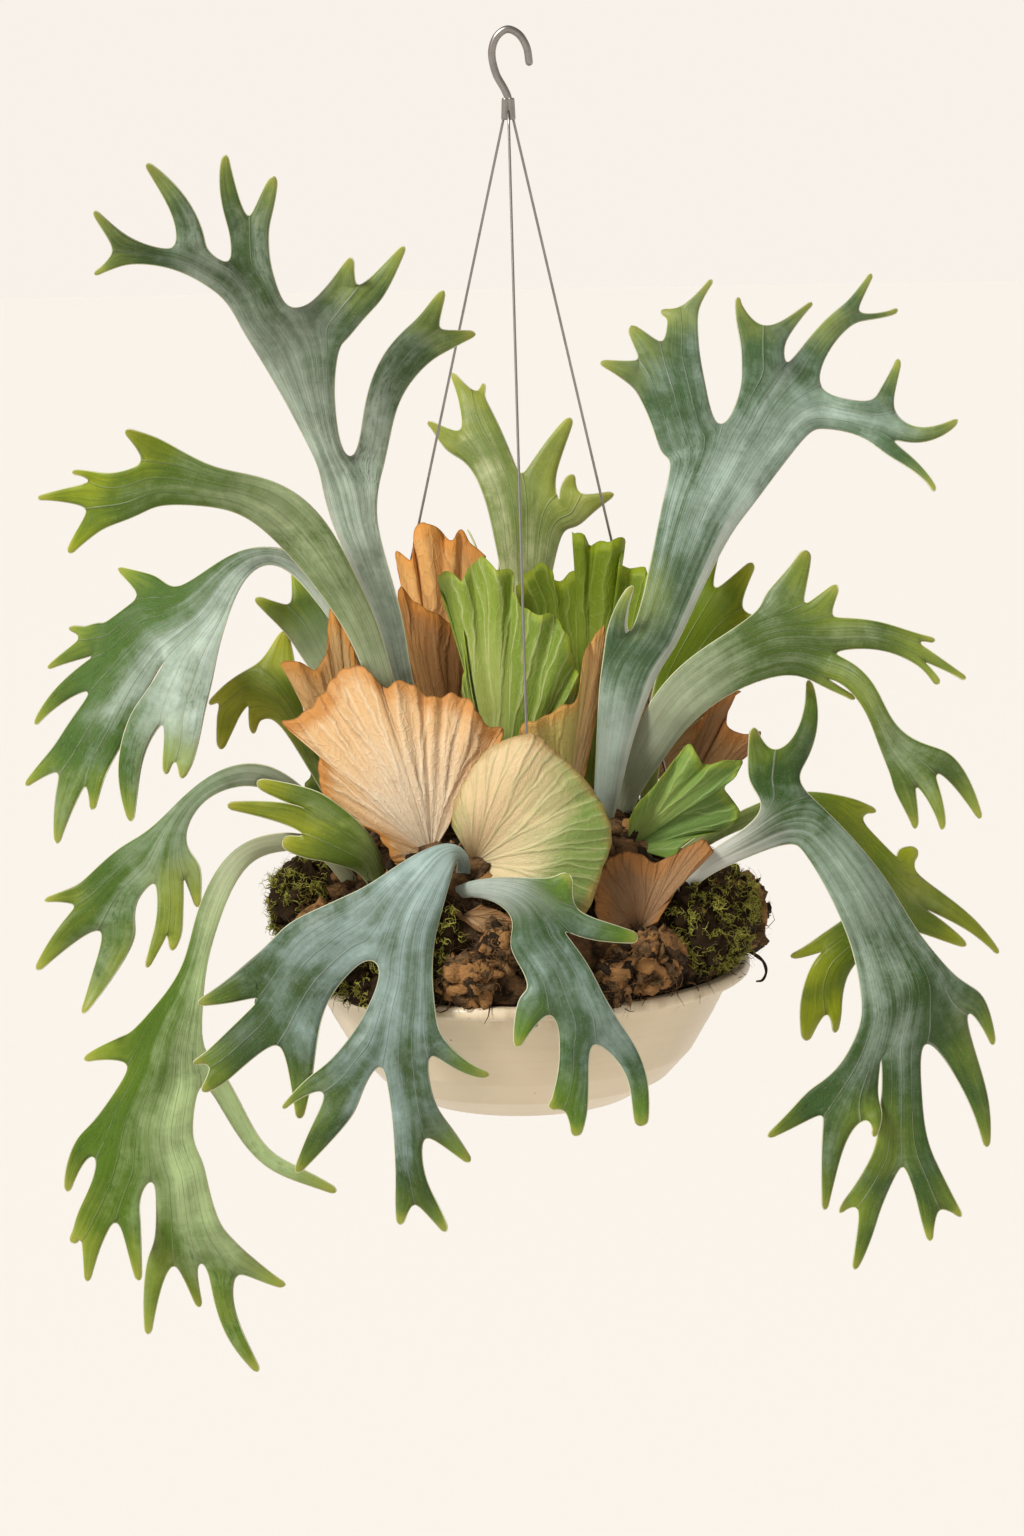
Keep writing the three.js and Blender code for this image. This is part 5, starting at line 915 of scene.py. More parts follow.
def antler_sheet(frond, camber, seed):
    """The blade of one frond. Each branch is a grid along its curve, with a few columns for each tip that
    it leads to, so that a fork only shares its columns out between its branches."""
    sheet = Sheet()
    x0, forward, half = frond["foot"]
    u0, v0 = sunk(x0, forward, FOOT_SINK)
    branches = frond["tree"]
    tree = swept([[[u0, v0, half, forward]] + branches[0]] + branches[1:], frond["sweep"], (u0, v0))
    lean = frond["lean"]
    phase = np.random.default_rng(seed).uniform(0, PHASES, 2)
    tips = []

    def rise(along, half):
        """Camber that is strongest on the stem."""
        return half * camber * (1 + STEM_CAMBER * np.exp(-np.maximum(along, 0) / STEM_REACH))

    def grow(branch, vein, before, start, first, left_crotch, right_crotch):
        """The grid along one branch. Its first edges swing over to the crotches beside it."""
        count = tip_count(branch)
        is_tip = len(branch) == 1
        at, length = curve_through(branch[0], before)
        rows = [np.linspace(0, length, max(int(length / ROW_STEP), 3) + 1)]
        if before is not None:
            rows.append(CROTCH_ROWS)
        rounding = min(TIP_ROUNDING, 0.4 * length)
        if is_tip:
            rows.append(length - rounding * (1 - np.sin(np.linspace(0.3, 1.56, TIP_ROWS))))
        rows = np.unique(np.round(np.concatenate(rows), 3))
        rows = rows[np.concatenate([[True], np.diff(rows) > ROW_GAP])]
        where, slope = at(rows)
        if is_tip:
            past = np.clip((rows - (length - rounding)) / rounding, 0, 1)
            where[:, 2] = np.maximum(where[:, 2], TIP_HALF_WIDTH) * np.sqrt(np.maximum(1 - past ** 2, 0.004))
        left, middle, right = cross_rows(where, slope, lean)
        fade = 1 - np.sqrt(1 - (1 - np.clip(rows / min(CROTCH_REACH, 0.6 * length), 0, 1)) ** 2)[:, None]
        if left_crotch is not None:
            left = left + (left_crotch - left[0]) * fade
        if right_crotch is not None:
            right = right + (right_crotch - right[0]) * fade
        x = columns(count)
        along = start + rows
        grid = row_points(left, middle, right, x, rise(along, where[:, 2]))
        s = along[:, None]
        ripple = (np.sin(s / LONG_RIPPLE + phase[0] + 1.4 * np.sign(x))
                  + 0.5 * np.sin(s / SHORT_RIPPLE + phase[1] + 2.1 * x))
        grid[..., 2] += RIPPLE * x ** 2 * ripple * ease(s / RIPPLE_REACH)
        ids = sheet.add(grid, row_notes(vein + (x + 1) / 2 * count, along, x), first)
        if is_tip:
            tips.append(middle[-1])
        else:
            fork(branch, vein, count, at, length, start + length, ids[-1], grid[-1], where[-1])

    def fork(branch, vein, count, at, length, start, last_ids, last_row, end):
        """The web between a branch's last row and the first rows of its children: cubic pieces that set
        out along the branch and arrive along each child. Between two children lies their crotch."""
        heading = at(np.array([length]))[1][0, :2]
        heading = heading / np.hypot(*heading)

        def bearing(child):
            """How far to the left of the heading a child's first station lies."""
            way = np.array(child[0][0][:2]) - end[:2]
            return math.atan2(heading[0] * way[1] - heading[1] * way[0], heading @ way)

        children = sorted(branch[1:], key=bearing, reverse=True)
        counts = [tip_count(child) for child in children]
        veins = [vein + sum(counts[:i]) for i in range(len(counts))]
        firsts = []
        for child in children:
            where, slope = curve_through(child[0], end)[0](np.array([0.0]))
            firsts.append((*[row[0] for row in cross_rows(where, slope, lean)], slope[0, :2]))
        crotches = [(a[2] + b[0]) / 2 for a, b in zip(firsts[:-1], firsts[1:])]
        lefts, rights = [None] + crotches, crotches + [None]
        parts = []
        for child, (left, middle, right, _), n, lc, rc in zip(children, firsts, counts, lefts, rights):
            left, right = left if lc is None else lc, right if rc is None else rc
            row = row_points(left[None], middle[None], right[None], columns(n),
                             rise(np.array([start]), child[0][0][2]))[0]
            parts.append(row[1:] if parts else row)
        target = np.concatenate(parts)
        across = np.linspace(vein, vein + count, len(target))
        marks = [v + n / 2 for v, n in zip(veins, counts)]
        ways = [way / np.hypot(*way) for *_, way in firsts]
        to_way = np.stack([np.interp(across, marks, [w[i] for w in ways]) for i in range(2)], -1)
        span = target - last_row
        reach = np.hypot(span[:, 0], span[:, 1])
        steps = max(int(reach.mean() / ROW_STEP), 2)
        t = np.linspace(0, 1, steps + 1)
        out, arrive = (np.concatenate([way * reach[:, None], span[:, 2:]], axis=1)
                       for way in (heading, to_way))
        grid = cubic(t[:, None, None], last_row, out, target, arrive)
        along = start + t * reach.mean()
        ids = sheet.add(grid, row_notes(across, along, (across - vein) / count * 2 - 1), last_ids)
        column = 0
        for child, v, n, lc, rc in zip(children, veins, counts, lefts, rights):
            grow(child, v, end, along[-1], ids[-1][column:column + TIP_COLUMNS * n + 1], lc, rc)
            column += TIP_COLUMNS * n

    grow(tree, 0, None, 0.0, None, None, None)
    points, faces, notes = sheet.whole()
    notes[:, 3] = nearest(points, np.array(tips))
    points = relaxed(points, faces, np.where(notes[:, 1] < 3, 1.0, 1 - ease((notes[:, 3] - 3) / 16)))
    notes[:, 2] = edge_distance(points, faces)
    points[:, 2] += waves(points, seed, BLADE_WAVE_SIZE) * BLADE_WAVE * ease(notes[:, 1] / 90)
    return points, faces, notes


# Shields

def spokes(edge, eye):
    """Bearings of the fan's spokes, turned apart until each lies a little past the one before."""
    raw = np.unwrap(np.arctan2(edge[:, 1] - eye[1], edge[:, 0] - eye[0]))
    way = np.sign(raw[-1] - raw[0])
    for _ in range(200):
        for i in range(1, len(raw)):
            short = max(SPOKE_STEP - way * (raw[i] - raw[i - 1]), 0)
            raw[i - 1] -= way * short / 2
            raw[i] += way * short / 2
    return raw


def softened(values):
    """Each value meets its neighbours half way: a quarter of each and half of its own."""
    padded = np.concatenate([values[:1], values, values[-1:]])
    return (padded[:-2] + 2 * padded[1:-1] + padded[2:]) / 4


def shield_sheet(shield, seed):
    """A fan from its eye to a smooth curve through the edge points. What a spoke has of its own, in
    length, bearing and ruffle, grows with the cube of the distance from the eye, and the fan is bulged
    by a half sine wave. Pleats run out from the eye, and fine frills follow the margin."""
    x, forward = shield["eye"]
    eye = np.array(sunk(x, forward, EYE_SINK))
    edge = np.array(shield["edge"], float)
    bearings = spokes(edge, eye)
    reaches = softened(np.hypot(edge[:, 0] - eye[0], edge[:, 1] - eye[1]))
    forwards = softened(edge[:, 2] - forward)
    at, length = curve_through(np.column_stack([edge, bearings, reaches, forwards]))
    w = np.linspace(0, length, max(int(length / FAN_STEP), 24) + 1)
    rim = at(w)[0]
    bearing, reach, shared = rim[:, 3:].T
    a, b, c = np.random.default_rng(seed).uniform(0, PHASES, 3)
    ruffle = shield.get("frill", 1.0)
    frill = (np.sin(w / 2.6 + a) * 0.6 + np.sin(w / 4.6 + b) * 1.2) * ruffle
    scallop = np.abs(np.sin(w / 4.4 + c + 0.7 * np.sin(w / 13 + a))) - 0.6
    tooth = (scallop * 1.3 + np.sin(w / 2.1 + c) * 0.25) * ruffle
    base = np.stack([np.cos(bearing), np.sin(bearing)], -1) * reach[:, None]
    own = rim[:, :2] - eye - base
    out = base / np.maximum(np.hypot(*base.T), 1e-6)[:, None]
    r = np.linspace(0.02, 1, FAN_ROWS)[:, None]
    share = np.linspace(0, 1, len(w))
    drift = 0.7 * np.sin(share * 9 + b) + 0.5 * np.sin(share * 17 + c)
    folds = max(round(length / PLEAT_WIDTH), 5)
    pleat = np.sin(TURN * folds * share + 2 * drift + 0.8 * r) * (0.65 + 0.35 * np.sin(share * 23 + a))
    plane = eye + base * r[..., None] + (own + out * tooth[:, None]) * r[..., None] ** 3
    whole = np.hypot(*(rim[:, :2] - eye).T)
    lift = (shield["bulge"] * whole * np.sin(math.pi * r) + shared * r
            + (rim[:, 2] - forward - shared) * r ** 3 + frill * r ** 5
            + shield.get("pleat", 0.75) * pleat * r ** 1.3)
    grid = np.concatenate([plane, (forward + lift)[..., None]], axis=-1)
    notes = np.stack([0 * lift + share, 0 * lift + r, (1 - r) * whole], -1)
    way = -1 if bearings[-1] > bearings[0] else 1
    sheet = Sheet()
    sheet.add(grid[:, ::way], notes[:, ::way])
    return sheet.whole()


# Bowl, hanger and filling

def skin(ids, inward=False):
    """Faces between the rows of a grid of point numbers, whose columns close into rings."""
    right = np.roll(ids, -1, axis=-1)
    corners = [ids[..., :-1, :], right[..., :-1, :], right[..., 1:, :], ids[..., 1:, :]]
    if inward:
        corners = [corners[i] for i in (0, 3, 2, 1)]
    return np.stack(corners, -1).reshape(-1, 4)


def end_fans(ids, inward=False):
    """Triangles from the first and the last ring to the two points that are counted after them."""
    start, stop = (np.full_like(ids[0], ids.size + i) for i in range(2))
    right = np.roll(ids, -1, axis=-1)
    fans = np.concatenate([np.stack([start, right[0], ids[0]], -1), np.stack([ids[-1], right[-1], stop], -1)])
    return fans[:, ::-1] if inward else fans


def lathe(profile, sides, wobble=None):
    """A profile of (radius, height) carried round the upright axis. Its two ends lie on the axis, where
    the ring closes into one point."""
    profile = np.asarray(profile, float)
    turn = circle(sides)
    r, z = (np.repeat(profile[1:-1, i:i + 1], sides, axis=1) for i in range(2))
    if wobble is not None:
        r, z = wobble(r, z, turn[None])
    rings = np.stack([r * np.cos(turn), r * np.sin(turn), z], -1).reshape(-1, 3)
    ends = np.array([[0, 0, profile[0, 1]], [0, 0, profile[-1, 1]]])
    ids = np.arange(len(rings)).reshape(-1, sides)
    return np.concatenate([rings, ends]), [skin(ids), end_fans(ids)]


def dense(profile, step, soft=0):
    """Points along a profile at most a step apart, with its corners rounded by softening soft times."""
    profile = np.asarray(profile, float)
    knots = np.concatenate([[0], np.cumsum(np.hypot(*np.diff(profile, axis=0).T))])
    s = np.unique(np.concatenate([np.arange(0, knots[-1], step), knots]))
    out = np.stack([np.interp(s, knots, profile[:, i]) for i in range(2)], -1)
    for _ in range(soft):
        out[1:-1] = (out[:-2] + 2 * out[1:-1] + out[2:]) / 4
    return out


def tube(path, radius, sides, round_start=False):
    """A round section carried along a path. Its frame is turned as little as possible from step to step."""
    ways = unit(np.gradient(path, axis=0))
    radius = np.zeros(len(path)) + radius
    up = np.array([0, 1.0, 0]) if abs(ways[0][1]) < 0.9 else np.array([1.0, 0, 0])
    ups = []
    for way in ways:
        up = up - way * (up @ way)
        up = up / np.linalg.norm(up)
        ups.append(up)
    ups = np.array(ups)
    asides = np.cross(ways, ups)
    if round_start:
        cap = np.linspace(0, 1.45, 5)[::-1]
        path = np.concatenate([path[0] - ways[0] * radius[0] * np.sin(cap[:, None]), path[1:]])
        radius = np.concatenate([radius[0] * np.cos(cap), radius[1:]])
        ups, asides = (np.concatenate([np.repeat(v[:1], len(cap), 0), v[1:]]) for v in (ups, asides))
    a = circle(sides)[:, None]
    rings = path[:, None] + radius[:, None, None] * (ups[:, None] * np.cos(a) + asides[:, None] * np.sin(a))
    ids = np.arange(len(path) * sides).reshape(-1, sides)
    return np.concatenate([rings.reshape(-1, 3), path[[0, -1]]]), [skin(ids, True), end_fans(ids, True)]


def joined(shapes):
    """Several shapes as one: their points in a row, and their faces counted on."""
    points, quads, tris, base = [], [], [], 0
    for shape_points, groups in shapes:
        points.append(shape_points)
        for group in groups:
            (quads if group.shape[1] == 4 else tris).append(group + base)
        base += len(shape_points)
    return np.concatenate(points), [np.concatenate(quads), np.concatenate(tris)]


def lump(at, radii, degrees, seed, rough, size, rows, cols):
    """A ball of the given radii, turned, and pushed out or in along each radius by nuggets. Gives their
    height too."""
    polar = np.linspace(math.pi, 0, rows)
    points, groups = lathe(np.stack([np.sin(polar), np.cos(polar)], -1), cols)
    high = nuggets(points * radii, seed, size)
    points = points * (1 + rough * (high - 0.5))[:, None]
    return turned(points * radii, degrees) + at, groups, high


def strands(rng, roots, ways, lengths, radius, steps, curl, droop):
    """Thin three-sided strands, pointed at their tips. Each starts at its root, heads its own way, and
    winds round that way on a growing spiral, while droop bends it down. Gives a tone for each strand and
    the share of its length at each point too."""
    n = len(roots)
    t = np.linspace(0, 1, steps + 1)[None, :, None]
    ways = unit(ways)
    e1 = unit(np.cross(ways, rng.normal(size=(n, 3))))
    e2 = np.cross(ways, e1)
    turns = rng.uniform(0.5, 1.4, (n, 1, 1)) * rng.choice([-1, 1], (n, 1, 1)) * TURN
    wind = curl * t * (e1[:, None] * (np.cos(turns * t) - 1 + t) + e2[:, None] * np.sin(turns * t))
    line = roots[:, None] + lengths[:, None, None] * (ways[:, None] * t + wind)
    line[..., 2] -= droop * lengths[:, None] * t[..., 0] ** 2
    a = circle(3)[:, None]
    width = radius[:, None, None] * (1 - 0.85 * t)
    rings = line[:, :, None] + width[..., None] * (e1[:, None, None] * np.cos(a)
                                                   + e2[:, None, None] * np.sin(a))
    ids = np.arange(n * (steps + 1) * 3).reshape(n, steps + 1, 3)
    caps = np.concatenate([ids[:, 0, ::-1], ids[:, -1]])
    tone = np.repeat(rng.uniform(0, 1, n), (steps + 1) * 3)
    return (rings.reshape(-1, 3), [skin(ids), caps]), tone, (t + np.zeros(ids.shape)).ravel()


def chips(rng, places, ways, spread, limits):
    """Small splinters of bark: low-sided balls, squared off, squashed to half sizes between the limits,
    and turned their own way, which strays from the given one by the spread. Gives a tone for each too."""
    n = len(places)
    sizes = np.stack([rng.uniform(low, high, n) for low, high in limits], -1)
    ways = unit(ways + rng.normal(0, spread, (n, 3)))
    polar = np.linspace(0.25, math.pi - 0.25, CHIP_ROWS)[:, None]
    turn = circle(CHIP_SIDES)
    wide, high = np.sin(polar), np.cos(polar) + 0 * turn
    ball = np.stack([wide * np.cos(turn), wide * np.sin(turn), high], -1)
    ball = (np.sign(ball) * np.abs(ball) ** 0.7).reshape(-1, 3)
    ball = ball * (1 + rng.uniform(-0.28, 0.28, (n, len(ball), 1))) * sizes[:, None]
    aside = unit(np.cross(ways, rng.normal(size=(n, 3))))
    points = places[:, None] + ball @ np.stack([aside, np.cross(ways, aside), ways], 1)
    ids = np.arange(n * CHIP_ROWS * CHIP_SIDES).reshape(n, CHIP_ROWS, CHIP_SIDES)
    ends = [part for k in range(1, CHIP_SIDES - 1)
            for part in (ids[:, 0][:, [0, k, k + 1]], ids[:, -1][:, [0, k + 1, k]])]
    tone = np.repeat(rng.uniform(0, 1, n), CHIP_ROWS * CHIP_SIDES)
    return (points.reshape(-1, 3), [skin(ids, True), np.concatenate(ends)]), tone


# Materials

class Val:
    """A number socket of a material, for plain sums: each sum adds its Math node."""

    def __init__(self, paint, socket):
        self.paint = paint
        self.socket = socket

    def __add__(self, other):
        return self.paint.maths("ADD", self, other)

    __radd__ = __add__

    def __sub__(self, other):
        return self.paint.maths("SUBTRACT", self, other)

    def __rsub__(self, other):
        return self.paint.maths("SUBTRACT", other, self)

    def __mul__(self, other):
        return self.paint.maths("MULTIPLY", self, other)

    __rmul__ = __mul__

    def __abs__(self):
        return self.paint.maths("ABSOLUTE", self)

    def from_line(self):
        """Distance to the nearest whole number."""
        return abs(self.paint.maths("FRACT", self + 0.5) - 0.5)

    def step(self, low, high):
        """0 below low and 1 above high, with a smooth rise between. Low may be the greater."""
        node = self.paint.node("ShaderNodeMapRange", {"interpolation_type": "SMOOTHSTEP"},
                               {"Value": self, "From Min": low, "From Max": high})
        return Val(self.paint, node.outputs["Result"])


class Paint:
    """A material under work: its nodes come from node(), coats are laid on its colour one over another,
    and close() gives it its surface."""

    def __init__(self, name):
        self.material = bpy.data.materials.new(name)
        self.material.use_nodes = True
        self.tree = self.material.node_tree
        self.tree.nodes.clear()
        self.colour = None

    def node(self, kind, settings=None, inputs=None):
        """Adds a node: its settings first, and then the values or links of its sockets."""
        node = self.tree.nodes.new(kind)
        for key, value in (settings or {}).items():
            setattr(node, key, value)
        for key, value in (inputs or {}).items():
            self.feed(node.inputs[key], value)
        return node

    def feed(self, socket, value):
        """Links a socket to another, or gives it its own number or colour."""
        if isinstance(value, Val):
            value = value.socket
        if isinstance(value, bpy.types.NodeSocket):
            self.tree.links.new(value, socket)
        elif socket.type == "RGBA" and len(value) == 3:
            socket.default_value = (*value, 1)
        else:
            socket.default_value = value

    def maths(self, operation, a, b=0.0):
        """One sum, product or the like."""
        node = self.node("ShaderNodeMath", {"operation": operation}, {0: a, 1: b})
        return Val(self, node.outputs[0])

    def attributes(self, *names):
        """The numbers that are kept at the mesh's points under these names."""
        return [Val(self, self.node("ShaderNodeAttribute", {"attribute_name": name}).outputs["Fac"])
                for name in names]

    def where(self):
        """Places in the model's own frame."""
        return self.node("ShaderNodeTexCoord").outputs["Object"]

    def vector(self, x, y, z=0.0):
        """Three numbers as one place."""
        return self.node("ShaderNodeCombineXYZ", None, {0: x, 1: y, 2: z}).outputs[0]

    def stretched(self, scale, spin=(0, 0, 0)):
        """Places scaled by three numbers of their own, and turned."""
        return self.node("ShaderNodeMapping", None,
                         {"Vector": self.where(), "Scale": scale, "Rotation": spin}).outputs[0]

    def noise(self, vector, scale, detail=3.0, rough=0.55, distortion=0.0):
        """Smooth unevenness from 0 to 1, finer for a greater scale."""
        node = self.node("ShaderNodeTexNoise", None, {"Vector": vector, "Scale": scale, "Detail": detail,
                                                      "Roughness": rough, "Distortion": distortion})
        return Val(self, node.outputs["Fac"])

    def mix(self, a, b, share):
        """The first colour, with a share of the second in it."""
        node = self.node("ShaderNodeMix", {"data_type": "RGBA", "blend_type": "MIX"})
        self.feed(node.inputs[0], share)
        self.feed(node.inputs[6], a)
        self.feed(node.inputs[7], b)
        return node.outputs[2]

    def lay(self, *coats):
        """Lays coats on the colour, each a colour and how much of it covers what is there."""
        for colour, share in coats:
            self.colour = self.mix(self.colour, colour, share)

    def close(self, roughness, relief=None, depth=0.0, strength=1.0, **constants):
        """Ends the material in one Principled surface, with its relief as a bump so many metres deep.
        Constants are set on the surface's own sockets."""
        inputs = {"Base Color": self.colour, "Roughness": roughness}
        if relief is not None:
            inputs["Normal"] = self.node("ShaderNodeBump", None, {
                "Height": relief, "Distance": depth, "Strength": strength}).outputs[0]
        inputs.update({key.replace("_", " "): value for key, value in constants.items()})
        surface = self.node("ShaderNodeBsdfPrincipled", None, inputs)
        self.node("ShaderNodeOutputMaterial", None, {"Surface": surface.outputs[0]})
        return self.material


def antler_material(node, tints):
    """Antler frond: a bluish bloom over green, laid on in lengthwise stripes that also stand for painted
    light and shade along its folds, and worn off in mottles, with painted highlights where it is thickest;
    soft veins that follow the lobes, a pale stem partly painted with highlight stripes, a thin pale margin,
    yellower tips and a pale felted back."""
    bloom, green, tip, back = (srgb(t, KEY_LIGHT) for t in tints[:4])
    bloom, green = lighter(bloom, 1.12), lighter(green, 0.8)
    cover, stem, stem_share, strip, tilt = tints[4:]
    shift = (seed_of(node) % 17) * 1.3
    paint = Paint(node)
    vein, along, edge, far, under = paint.attributes("vein", "along", "edge", "tip", "under")
    where = paint.where()
    # Broad lengthwise stripes: they lay the bloom on partly as its own stripes and partly as painted light
    # and shade along the folds of the blade.
    bloom_and_sheen_bands = paint.noise(paint.vector(vein * 0.9 + shift, along * 0.006), 1.0, 2.0, 0.5, 0.3)
    streaks = paint.noise(paint.vector(vein * 6.0 + shift, along * 0.03), 1.0, 4.0, 0.6)
    patches = paint.noise(where, 15.0, 5.0, 0.62, 0.5)
    speckle = paint.noise(where, 95.0, 5.0, 0.7, 0.6)
    fine = paint.noise(where, 480.0, 2.0, 0.6)
    mottles = paint.noise(paint.vector(vein * 9.0 + shift, along * 0.11), 1.0, 3.0, 0.65, 0.4)
    rubbed_and_sheen = bloom_and_sheen_bands * 0.32 + patches * 0.42 + streaks * 0.09 + speckle * 0.17
    rubbed_and_sheen = rubbed_and_sheen - (far.step(10.0, 130.0) - 0.6) * 0.17 + (vein - 6.0) * tilt
    centre = 0.5 + (cover - 0.5) * 0.34
    marks = mottles.step(0.52, 0.62) * patches.step(0.44, 0.6)
    toward_tip = (far + (streaks - 0.5) * 34.0 + (patches - 0.5) * 50.0).step(44.0, 0.0)
    paint.colour = green
    paint.lay((bloom, rubbed_and_sheen.step(centre + 0.11, centre - 0.13)),
              (lighter(green, 0.6), marks * along.step(90.0, 220.0) * 0.6),
              # Near-white bloom where the blade is least worn: a painted highlight of the leaf's gloss, laid
              # where the bloom is thickest.
              (lighter(bloom, 1.7, 0.03), rubbed_and_sheen.step(centre - 0.07, centre - 0.2) * 0.55),
              (tip, toward_tip * 0.8),
              (srgb((178, 174, 74), KEY_LIGHT), (far + edge * 1.5).step(17.0, 3.0) * 0.5))
    # The pale stem: partly the stem's own paler colour, partly a painted highlight in lengthwise stripes
    # where light would catch its folds.
    stem_part = (along + (bloom_and_sheen_bands - 0.5) * 60.0).step(stem, stem * 0.35)
    held_back = 0.3 * stem_share
    pale_and_sheen_stripes = (bloom_and_sheen_bands * 0.7 + streaks * 0.3).step(0.38 - held_back, 0.6 - held_back)
    paint.lay((lighter(back, 0.86), stem_part * pale_and_sheen_stripes * (0.5 + 0.4 * stem_share)))
    if strip:
        x, = paint.attributes("x")
        paint.lay((back, (x * float(strip)).step(0.66, 0.76) * along.step(270.0, 200.0) * 0.7))
    wander = (paint.noise(where, 11.0, 2.0) - 0.5) * 0.8
    main = (vein + wander * 0.4).from_line().step(0.054, 0.004)
    side = (vein * 3.0 + wander * 1.6).from_line().step(0.22, 0.02)
    shown = speckle.step(0.3, 0.6)
    paint.lay((lighter(back, 0.8), main * shown * 0.3),
              (lighter(green, 0.7), side * shown * 0.12),
              (lighter(bloom, 1.4, 0.05), paint.noise(where, 1300.0, 1.0).step(0.6, 0.74) * 0.16),
              (srgb((222, 222, 184)), edge.step(0.8, 0.25) * 0.75))
    felt = paint.mix(paint.mix(back, lighter(back, 0.84), streaks.step(0.4, 0.65)), green, side * 0.2)
    paint.lay((felt, under * 0.88))
    relief = main * 0.6 + side * 0.1 + streaks * 0.22 + bloom_and_sheen_bands * 0.8 + patches * 0.4 + fine * 0.08
    return paint.close(patches.step(0.3, 0.7) * 0.18 + 0.38, relief, 0.0012, 0.6, Sheen_Weight=0.04,
                       Sheen_Roughness=0.5, Subsurface_Weight=0.05, Subsurface_Scale=0.004,
                       Specular_IOR_Level=0.26)


def shield_material(node, tints, finish):
    """Shield frond: colours that change from the eye outwards and round the fan, ribs that fork twice on
    their way out, a net of fine veins, blotches and a thin drier margin."""
    inner, outer, rib, margin, patch = (srgb(t, KEY_LIGHT) for t in tints[:5])
    (low, high), ribs, rib_share = tints[5:]
    dark_grain, pale_grain, rib_width, blotched, margin_width, margin_share, rim, rough, depth = finish
    paint = Paint(node)
    across, along, edge = paint.attributes("across", "along", "edge")
    where = paint.where()
    clouds = paint.noise(where, 24.0, 5.0, 0.62, 0.6)
    blots = paint.noise(where, 70.0, 5.0, 0.7, 1.0)
    fine = paint.noise(where, 360.0, 3.0, 0.6)
    grain = paint.noise(paint.vector(across * 90.0, along * 3.0), 1.0, 3.0, 0.6)
    middle, span = (low + high) / 2, (high - low) / 2
    apart = abs(across - middle) + (clouds - 0.5) * 0.3
    paint.colour = inner
    paint.lay((outer, (along + (clouds - 0.5) * 0.8).step(0.2, 0.9)),
              (patch, apart.step(span + 0.12, max(span - 0.14, 0.0)) * 0.85),
              (lighter(outer, 0.72), grain.step(0.45, 0.72) * dark_grain),
              (lighter(inner, 1.15, 0.02), grain.step(0.5, 0.28) * pale_grain))
    drift = (paint.noise(where, 13.0, 3.0, 0.6) - 0.5) * 0.9
    first = abs((across * ribs + drift).from_line() - 0.25 * along.step(0.18, 0.75))
    second = abs(first - 0.125 * along.step(0.45, 1.0))
    slim = second * (along + 0.25)
    lines = slim.step(rib_width, 0.004)
    halo = slim.step(0.09, 0.0)
    net = paint.node("ShaderNodeTexVoronoi", {"feature": "DISTANCE_TO_EDGE"},
                     {"Vector": paint.vector(across * 64.0 + drift * 5.0, along * 18.0), "Scale": 1.0})
    meshes = Val(paint, net.outputs["Distance"]).step(0.12, 0.0)
    near_edge = (edge + (clouds - 0.5) * 34.0 + (blots - 0.5) * 12.0).step(margin_width, 1.0)
    paint.lay((rib, lines * blots.step(0.25, 0.55) * rib_share),
              (rib, halo * rib_share * 0.3),
              (rib, meshes * rib_share * 0.22),
              (lighter(margin, 0.6), (blots * 0.6 + clouds * 0.4).step(0.55, 0.7) * blotched),
              (margin, near_edge * margin_share),
              (lighter(margin, 0.55), edge.step(1.1, 0.3) * rim))
    relief = halo * 0.8 + meshes * 0.2 + clouds * 0.6 + blots * 0.35 + fine * 0.14 + grain * 0.3
    return paint.close(rough + fine * 0.12, relief, depth, 0.7, Specular_IOR_Level=0.2,
                       Subsurface_Weight=0.06, Subsurface_Scale=0.004)


def steel_material(colour):
    """Drawn steel wire: fine lines along it, with duller patches."""
    paint = Paint("drawn_steel")
    lines = paint.noise(paint.stretched((2600, 2600, 60)), 1.0, 2.0)
    dull = paint.noise(paint.where(), 140.0, 4.0, 0.65)
    paint.colour = tuple(colour)
    paint.lay((lighter(colour, 0.6), dull.step(0.42, 0.7) * 0.5), (lighter(colour, 1.5), lines * 0.3))
    return paint.close(dull * 0.22 + 0.24, lines * 0.7 + dull * 0.3, 0.00012, 0.5, Metallic=1.0)


def ceramic_material(colour):
    """Cream glaze: faint throwing rings, brown specks, scuffs and drips of grime under the lip."""
    paint = Paint("cream_glaze")
    where = paint.where()
    height = Val(paint, paint.node("ShaderNodeSeparateXYZ", None, {0: where}).outputs[2])
    clouds = paint.noise(where, 11.0, 4.0, 0.6)
    rings = paint.noise(paint.vector(clouds * 0.4, 0.0, height * 260.0), 1.0, 3.0, 0.6)
    scratch = paint.noise(paint.stretched((26, 26, 700)), 1.0, 3.0, 0.7).step(0.66, 0.74)
    drips = paint.noise(paint.stretched((70, 70, 9)), 1.0, 4.0).step(0.48, 0.7)
    specks = paint.node("ShaderNodeTexVoronoi", None, {"Vector": where, "Scale": 150.0, "Randomness": 1.0})
    chance = Val(paint, paint.node("ShaderNodeSeparateColor", None, {0: specks.outputs["Color"]}).outputs[0])
    spots = Val(paint, specks.outputs["Distance"]).step(0.16, 0.08) * chance.step(0.93, 0.95)
    paint.colour = tuple(colour)
    paint.lay((lighter(colour, 0.8), clouds.step(0.4, 0.75) * 0.5),
              (srgb((206, 186, 150)), rings.step(0.5, 0.68) * 0.34),
              (srgb((176, 150, 112)), scratch * 0.2),
              (srgb((150, 122, 84)), height.step(-0.632, -0.613) * drips * 0.4),
              (srgb((84, 60, 40)), spots * 0.8))
    return paint.close(clouds * 0.2 + 0.3, rings * 0.5 + clouds * 0.5 - spots * 0.5, 0.0007, 0.6,
                       Coat_Weight=0.12, Coat_Roughness=0.25)


